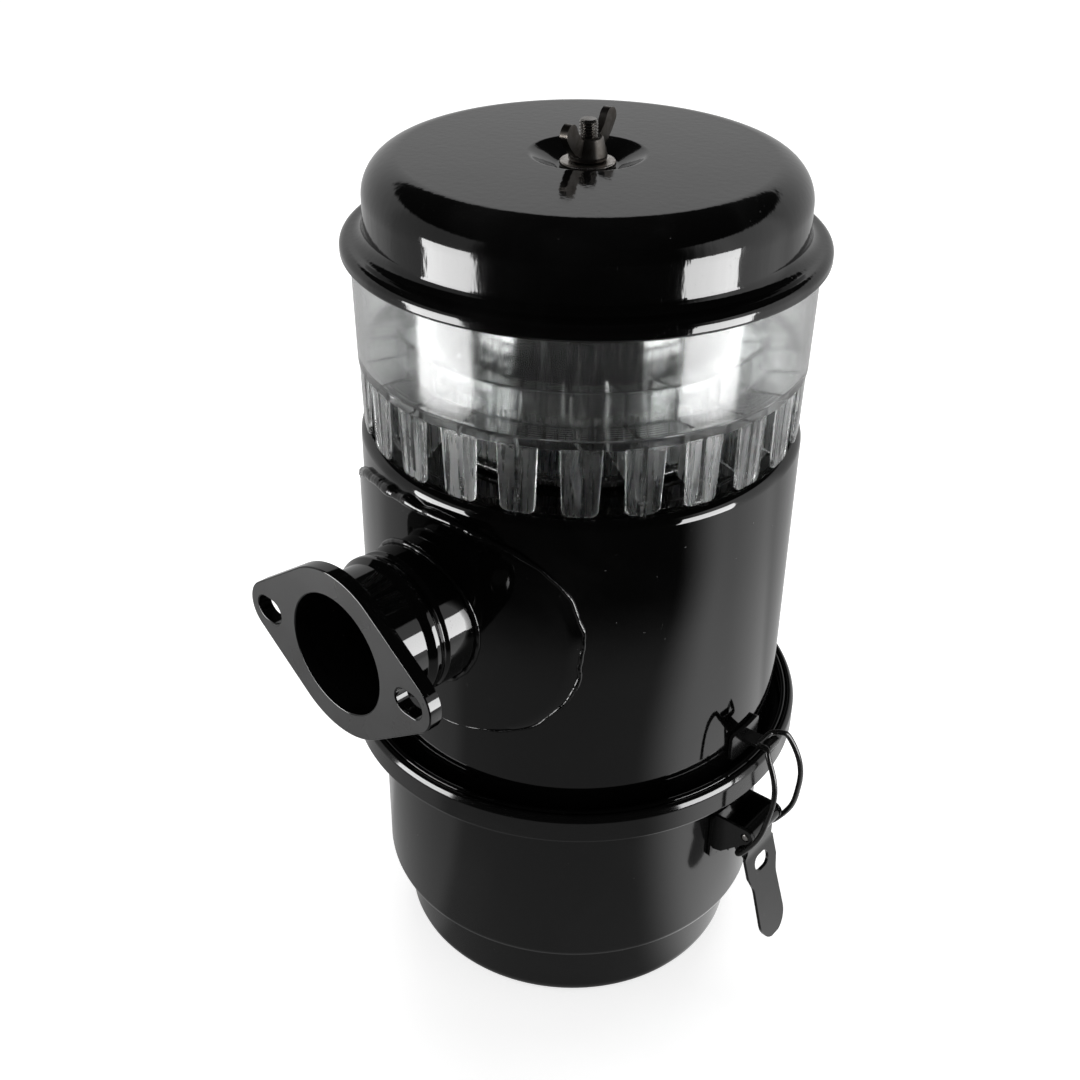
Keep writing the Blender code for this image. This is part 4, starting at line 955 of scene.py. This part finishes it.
def addPair(bm, outline, near, sheet, place):
    # the same plate on both sides of the latch
    for sign in (-1, 1):
        ends = sorted((sign * near, sign * near + sign * sheet))
        addPrism(bm, outline, *ends, place)


def wallPlate(bm, radius, half, low, high, corner, sheet, place):
    # plate with round corners, bent to a round wall
    columns = 18
    corners = ((-half, low), (half, low), (half, high), (-half, high))
    outline = rounded([(x, y, corner) for x, y in corners], 6)
    flat = bmesh.new()
    flat.faces.new([flat.verts.new((x, y, 0.0)) for x, y in outline])
    wide = max(abs(x) for x, y in outline)
    for i in range(1, columns):
        x = -wide + 2 * wide * i / columns
        bmesh.ops.bisect_plane(flat, geom=flat.verts[:] + flat.edges[:] + flat.faces[:], dist=1e-5,
                               plane_co=(x, 0, 0), plane_no=(1, 0, 0))
    made = bmesh.ops.extrude_face_region(flat, geom=flat.faces[:])
    lifted = {v for v in made["geom"] if isinstance(v, bmesh.types.BMVert)}
    for vert in flat.verts:
        x, y = vert.co.x, vert.co.y
        reach = radius + (sheet if vert in lifted else 0.0)
        vert.co = place @ Vector((reach * cos(x / radius), reach * sin(x / radius), y))
    mesh = bpy.data.meshes.new("plateDraft")
    flat.to_mesh(mesh)
    flat.free()
    bm.from_mesh(mesh)
    bpy.data.meshes.remove(mesh)


def latchBracket(side):
    look = bracketLook
    px, py = latchLook["pivot"]
    high, low = py + look["ear"], py + look["ear"] - look["tall"]
    half = earGap() + look["plate"] + look["margin"]
    bm = bmesh.new()
    wallPlate(bm, look["base"], half, low, high, look["corner"], look["plate"], latchTurn(side))
    bracket = makeObject("bracket_plate_" + side, bm, latchPaint)
    root = look["base"] + look["plate"] * 0.3
    outline = [(root - 0.6, py - look["deep"]), (root + 3.4, py - look["deep"] + 1.0)]
    outline += arc((px, py), look["ear"], -90, 90, 16) + [(root - 0.6, high - 0.02)]
    ears, holes = bmesh.new(), bmesh.new()
    addPair(ears, outline, earGap(), look["plate"], latchPlace(side))
    left, right, foot, rise = look["web"]
    web = [(left, foot), (right, foot), (right, rise), (left, rise)]
    across = earGap() - look["webGap"]
    addPrism(ears, web, -across, across, latchPlace(side))
    drill = latchLook["drill"]
    addRod(holes, leverLook["pin"] + leverLook["fit"], -drill, drill, 24, latchPlace(side, (px, py)))
    combine(bracket, ears, "UNION")
    combine(bracket, holes, "DIFFERENCE")
    finishPiece(bracket, ["latch_bracket_" + side], edge=look["edge"])


def leverPin(side):
    half = earGap() + bracketLook["plate"] + bracketLook["pinStand"]
    pin = leverLook["pin"]
    bm = bmesh.new()
    verts = addSpun(bm, rounded([(0, -half, 0), (pin, -half, 0.5), (pin, half, 0.5), (0, half, 0)], 5), 32)
    bmesh.ops.transform(bm, matrix=latchPlace(side, latchLook["pivot"]), verts=verts)
    finishPiece(makeObject("pivot_pin_" + side, bm, pinZinc), ["lever_pin_" + side])


def leverDrop():
    bent = leverLook["length"] - leverLook["bendAt"]
    return leverLook["bendAt"] + bent * cos(radians(leverLook["bend"]))


def leverSide():
    # side view of the plate: down from the curl, then bent outward
    look = leverLook
    px, py = latchLook["pivot"]
    face = px + look["set"] - look["plate"] / 2
    lean, bend, steps = radians(look["bend"]), look["bendRadius"], 10
    bendAt, run = py - look["bendAt"], look["length"] - look["bendAt"]
    line = [(face + run * sin(lean), bendAt - run * cos(lean))]
    for i in range(steps + 1):
        a = lean * (1 - i / steps)
        line.append((face + bend * (1 - cos(a)), bendAt + bend * (0.5 - sin(a))))
    line.append((face, py))
    other = []
    for i, point in enumerate(line):
        here = Vector(point)
        before = here - Vector(line[i - 1]) if i else Vector(line[1]) - here
        after = Vector(line[i + 1]) - here if i < len(line) - 1 else before
        way = (before.normalized() + after.normalized()).normalized()
        other.append(tuple(here + Vector((way.y, -way.x)) * look["plate"]))
    return line + other[::-1]


def leverFront():
    # front view of the plate, with the pin at its origin: ears' width, flare, then the round tip
    look = leverLook
    wide, tip = look["width"] / 2 - look["earWall"] * 0.3, look["waist"] / 2
    corners = [(wide, look["top"], 0.0), (wide, -look["shoulderAt"] + 2.0, 1.5),
               (look["flare"], -look["shoulderAt"] - 1.0, 2.0), (look["flare"], -look["taperAt"] - 0.6, 2.5),
               (tip * 0.94, -look["neckAt"] - 1.0, 8.0)]
    corners += [(x, y, 0.0) for x, y in arc((0.0, tip - leverDrop()), tip, 0, -90, 14)]
    return rounded(corners + [(-x, y, r) for x, y, r in reversed(corners[:-1])], 5)


def latchLever(side):
    look = leverLook
    place, pivot, ends = latchPlace(side), latchLook["pivot"], latchLook["ends"]
    half, past, ear, drill = look["width"] / 2, look["length"] / 2, look["earRound"], latchLook["drill"]
    front = latchPlace(side, pivot) @ Matrix.Rotation(pi / 2, 4, "Y")
    bm, trim, curl, ears, holes = (bmesh.new() for part in range(5))
    addPrism(bm, leverSide(), -half - 1, half + 1, place)
    lever = makeObject("lever_stamping_" + side, bm, latchPaint)
    addPrism(trim, leverFront(), -past, past, front)
    combine(lever, trim, "INTERSECT")
    curlEnd = half - look["earWall"] * 0.15
    addRod(curl, look["curl"], -curlEnd, curlEnd, 40, latchPlace(side, pivot))
    combine(lever, curl, "UNION")
    back = pivot[0] + look["set"]
    ex, ey = ends
    shape = [(back, ey - ear * 1.9), (back, ey + ear * 1.4), (ex, ey + ear)] + arc(ends, ear, 120, 270, 14)
    addPair(ears, shape, half, -look["earWall"], place)
    combine(lever, ears, "UNION")
    for point, size in ((pivot, look["pin"]), (ends, latchLook["wire"])):
        addRod(holes, size + look["fit"], -drill, drill, 24, latchPlace(side, point))
    addPrism(holes, slotOutline(look["holeLong"], look["holeWide"], 10), -past, past,
             front @ Matrix.Translation((0, -look["holeAt"], 0)))
    combine(lever, holes, "DIFFERENCE")
    finishPiece(lever, ["latch_lever_" + side], body="lever_" + side, edge=look["edge"])


def bailRoute():
    # half of the bail, from its end in the lever's ear up to the crossbar
    look = bailLook
    px, py = latchLook["pivot"]
    cx, cy = latchLook["crossbar"]
    ex, ey = latchLook["ends"]
    foot = earGap() + bracketLook["plate"] + bracketLook["pinStand"] + look["footGap"] + latchLook["wire"]
    inside = leverLook["width"] / 2 - leverLook["earWall"] - look["inset"]
    bow, rise = cx + look["bow"], cy - py
    top, shoulder, mid = pick(look, "topHalf shoulderHalf bowHalf")
    return [Vector(p) for p in (
        (ex, ey, inside), (ex, ey, foot - 1.6), (ex + 0.4, ey + 0.1, foot - 0.4), (ex + 1.6, ey + 0.6, foot),
        (px + 2.2, py - 3.0, foot), (px + 6.6, py + rise * 0.12, foot - 0.3),
        (bow - 1.2, py + rise * 0.36, foot * 0.5 + mid * 0.5), (bow, py + rise * 0.58, mid),
        (bow - 1.6, py + rise * 0.80, mid * 0.5 + shoulder * 0.5), (bow - 5.6, cy - 0.8, shoulder),
        (cx + 4.6, cy + 1.2, top + 0.6), (cx + 1.6, cy + 0.3, top), (cx + 0.3, cy, top - 1.0),
        (cx, cy, top - 2.4))]


def bailWire(side):
    # the ends keep their bends, the rest of the wire is eased
    half = bailRoute()
    route = smoothRoute(half + [Vector((p.x, p.y, -p.z)) for p in reversed(half)], 8)
    hold = bailLook["hold"]
    for turn in range(bailLook["ease"]):
        eased = [(a + b * 2 + c) / 4 for a, b, c in zip(route, route[1:], route[2:])]
        route = route[:hold] + eased[hold - 1:1 - hold] + route[-hold:]
    bm = bmesh.new()
    addSweep(bm, [latchPlace(side) @ p for p in route], 16, lambda i, p: latchLook["wire"])
    bail = makeObject("bail_loop_" + side, bm, wireSteel)
    finishPiece(bail, ["bail_wire_" + side], "bail_" + side, sharp=50.0)


def strikeHook(side):
    look = hookLook
    cx, cy = latchLook["crossbar"]
    base, s = look["base"], look["plate"]
    floor = cy - latchLook["wire"] - look["floorGap"]
    half, low, high = look["width"] / 2, floor - look["tall"] * 0.7, floor + look["tall"] * 0.3
    bm = bmesh.new()
    wallPlate(bm, base, half, low, high, look["corner"], s, latchTurn(side))
    hook = makeObject("hook_plate_" + side, bm, latchPaint)
    lip, root, end = cx + latchLook["wire"] + look["lipGap"], base + s * 0.5, floor + look["lip"]
    outline = rounded([(root, floor, 0), (root, floor - s, 0), (lip + s, floor - s, 1.5), (lip + s, end, 0.4),
                       (lip, end, 0.4), (lip, floor, 0.5)], 6)
    tongue = bmesh.new()
    addPrism(tongue, outline, -look["tongue"] / 2, look["tongue"] / 2, latchPlace(side))
    combine(hook, tongue, "UNION")
    finishPiece(hook, ["strike_hook_" + side], edge=look["edge"])


for side in ("right", "left"):
    latchBracket(side)
    leverPin(side)
    latchLever(side)
    bailWire(side)
    strikeHook(side)
print("latches made")


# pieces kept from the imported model
keptFinishes = dict(
    oil_baffle=cupPaint, cup_gasket=gasketRubber, cover_gasket=gasketRubber, center_tube=cupPaint,
    stud_bridge=pinZinc, lower_grid=pinZinc, upper_grid=pinZinc, mesh_pack=wool)

for nodeName, finish in keptFinishes.items():
    node = bpy.data.objects[nodeName]
    for slot in node.material_slots:
        slot.material = finish


# floor, background and lamps: angles in degrees round the object, from the camera's side
studioLook = dict(
    floor=4.0, paper=0.80, glow=0.74, ambient=0.35, behind=0.58, dark=0.012, right=1.25, left=0.42,
    near=0.24, far=0.02, sky=0.46, skyDelay=8, floorDelay=(0.20, 0.38, -10, 10), middle=(0.27, 0.36),
    rightFrom=(38, 67), rightFade=(62, 84), rightShare=0.72, leftFrom=(-50, -60), backFrom=(104, 118))
towards = (sin(radians(cameraLook["turn"])), -cos(radians(cameraLook["turn"])))
beside = (cos(radians(cameraLook["turn"])), sin(radians(cameraLook["turn"])))


def rayKinds(bench):
    camera, glossy, through = (bench.node("ShaderNodeLightPath", {}, {}, name) for name in
                               ("Is Camera Ray", "Is Glossy Ray", "Is Transmission Ray"))
    return camera, glossy.top(through)


def roundMask(bench, x, y, delay):
    # what the object's gloss finds round it: dark in front, pale panels at the sides, white behind; on the
    # floor the same shapes are painted light
    look = studioLook
    front = x * towards[0] + y * towards[1]
    aside = x * beside[0] + y * beside[1]
    turn = bench.node("ShaderNodeMath", {"operation": "ARCTAN2"}, {0: aside, 1: front})
    rightLow, rightHigh, fadeLow, fadeHigh, leftLow, leftHigh, backLow, backHigh = (
        radians(a) for a in look["rightFrom"] + look["rightFade"] + look["leftFrom"] + look["backFrom"])
    right = (turn - delay).ramp(rightLow, rightHigh) * turn.ramp(fadeLow, fadeHigh, 1.0, look["rightShare"])
    right = right * turn.ramp(backHigh, backLow)
    left = turn.ramp(leftLow, leftHigh) * turn.ramp(-backHigh, -backLow)
    back = abs(turn).ramp(backLow, backHigh)
    return right, left, back


def studio(look):
    world = bpy.data.worlds.new("paperSweep")
    bpy.context.scene.world = world
    bench = Bench(world)
    x, y, z = bench.parts(bench.node("ShaderNodeTexCoord", {}, {}, "Generated"))
    camera, mirror = rayKinds(bench)
    right, left, back = roundMask(bench, x, y, radians(look["skyDelay"]))
    low = z.ramp(look["sky"] + 0.03, look["sky"] - 0.01)
    shown = (right * look["right"] + left * look["left"] + back * look["behind"]) * low + look["dark"]
    level = camera + (1 - camera) * (mirror * shown + (1 - mirror) * look["ambient"])
    sky = bench.node("ShaderNodeBackground", {}, {"Color": level, "Strength": 1.0})
    bench.finish(sky, "ShaderNodeOutputWorld")

    bench = Bench(bpy.data.materials.new("paperFloor"))
    x, y, z = bench.parts(bench.node("ShaderNodeNewGeometry", {}, {}, "Position"))
    camera, mirror = rayKinds(bench)
    reach = (x * x + y * y) ** 0.5
    start, end, first, last = look["floorDelay"]
    delay = reach.ramp(start, end, radians(first), radians(last))
    right, left, back = roundMask(bench, x, y, delay)
    # painted light: to glossy and transmission rays the floor's lit look is painted as glow, brighter at the
    # sides and behind as if the lamps lit it there, a dim glow near the foot in front and near black further
    # out, while its diffuse colour goes black for those rays
    middle = reach.ramp(*look["middle"], look["near"], look["far"])
    shown = right * look["right"] + left * look["left"] + back * look["behind"]
    shown = shown + (1 - right.top(left).top(back)) * middle
    paper = bench.blend(mirror, grey(look["paper"]), grey(0.0))
    matt = bench.node("ShaderNodeBsdfDiffuse", {}, {"Color": paper})
    light = camera * look["glow"] + mirror * shown
    glow = bench.node("ShaderNodeEmission", {}, {"Color": light, "Strength": 1.0})
    bench.finish(bench.node("ShaderNodeAddShader", {}, {0: matt, 1: glow}), "ShaderNodeOutputMaterial")
    half = look["floor"]
    mesh = bpy.data.meshes.new("paperFloor")
    corners = [(-half, -half, 0), (half, -half, 0), (half, half, 0), (-half, half, 0)]
    mesh.from_pydata(corners, [], [(0, 1, 2, 3)])
    mesh.materials.append(bench.owner)
    floor = bpy.data.objects.new("paper_floor", mesh)
    show(floor)


softbox = dict(out=0.50, height=0.15, size=(0.26, 0.26), power=3.0, mirrored=True, lights=False)
lampLook = dict(
    top=dict(place=(-0.25, 0.35, 1.25), size=(1.0, 1.0), power=9.5, mirrored=False, lights=True),
    left={**softbox, "turn": -66.0}, right={**softbox, "turn": 61.0})


def addLamp(name, look):
    lamp = bpy.data.lights.new(name, "AREA")
    lamp.shape = "RECTANGLE"
    lamp.size, lamp.size_y = look["size"]
    lamp.energy = look["power"]
    holder = bpy.data.objects.new(name, lamp)
    if "turn" in look:
        turn = radians(look["turn"] + cameraLook["turn"])
        place = Vector((look["out"] * sin(turn), -look["out"] * cos(turn), look["height"]))
        aim = Vector((0.0, 0.0, look["height"] + 0.10))
    else:
        place, aim = Vector(look["place"]), Vector((0.0, 0.0, 0.15))
    holder.location = place
    holder.rotation_euler = (place - aim).to_track_quat("Z", "Y").to_euler()
    holder.visible_camera = False
    holder.visible_diffuse = look["lights"]
    holder.visible_glossy = look["mirrored"]
    show(holder)


studio(studioLook)
for lampName, lampValues in lampLook.items():
    addLamp(lampName + "_softbox", lampValues)
bpy.context.scene.view_settings.view_transform = "Standard"
print("studio ready")
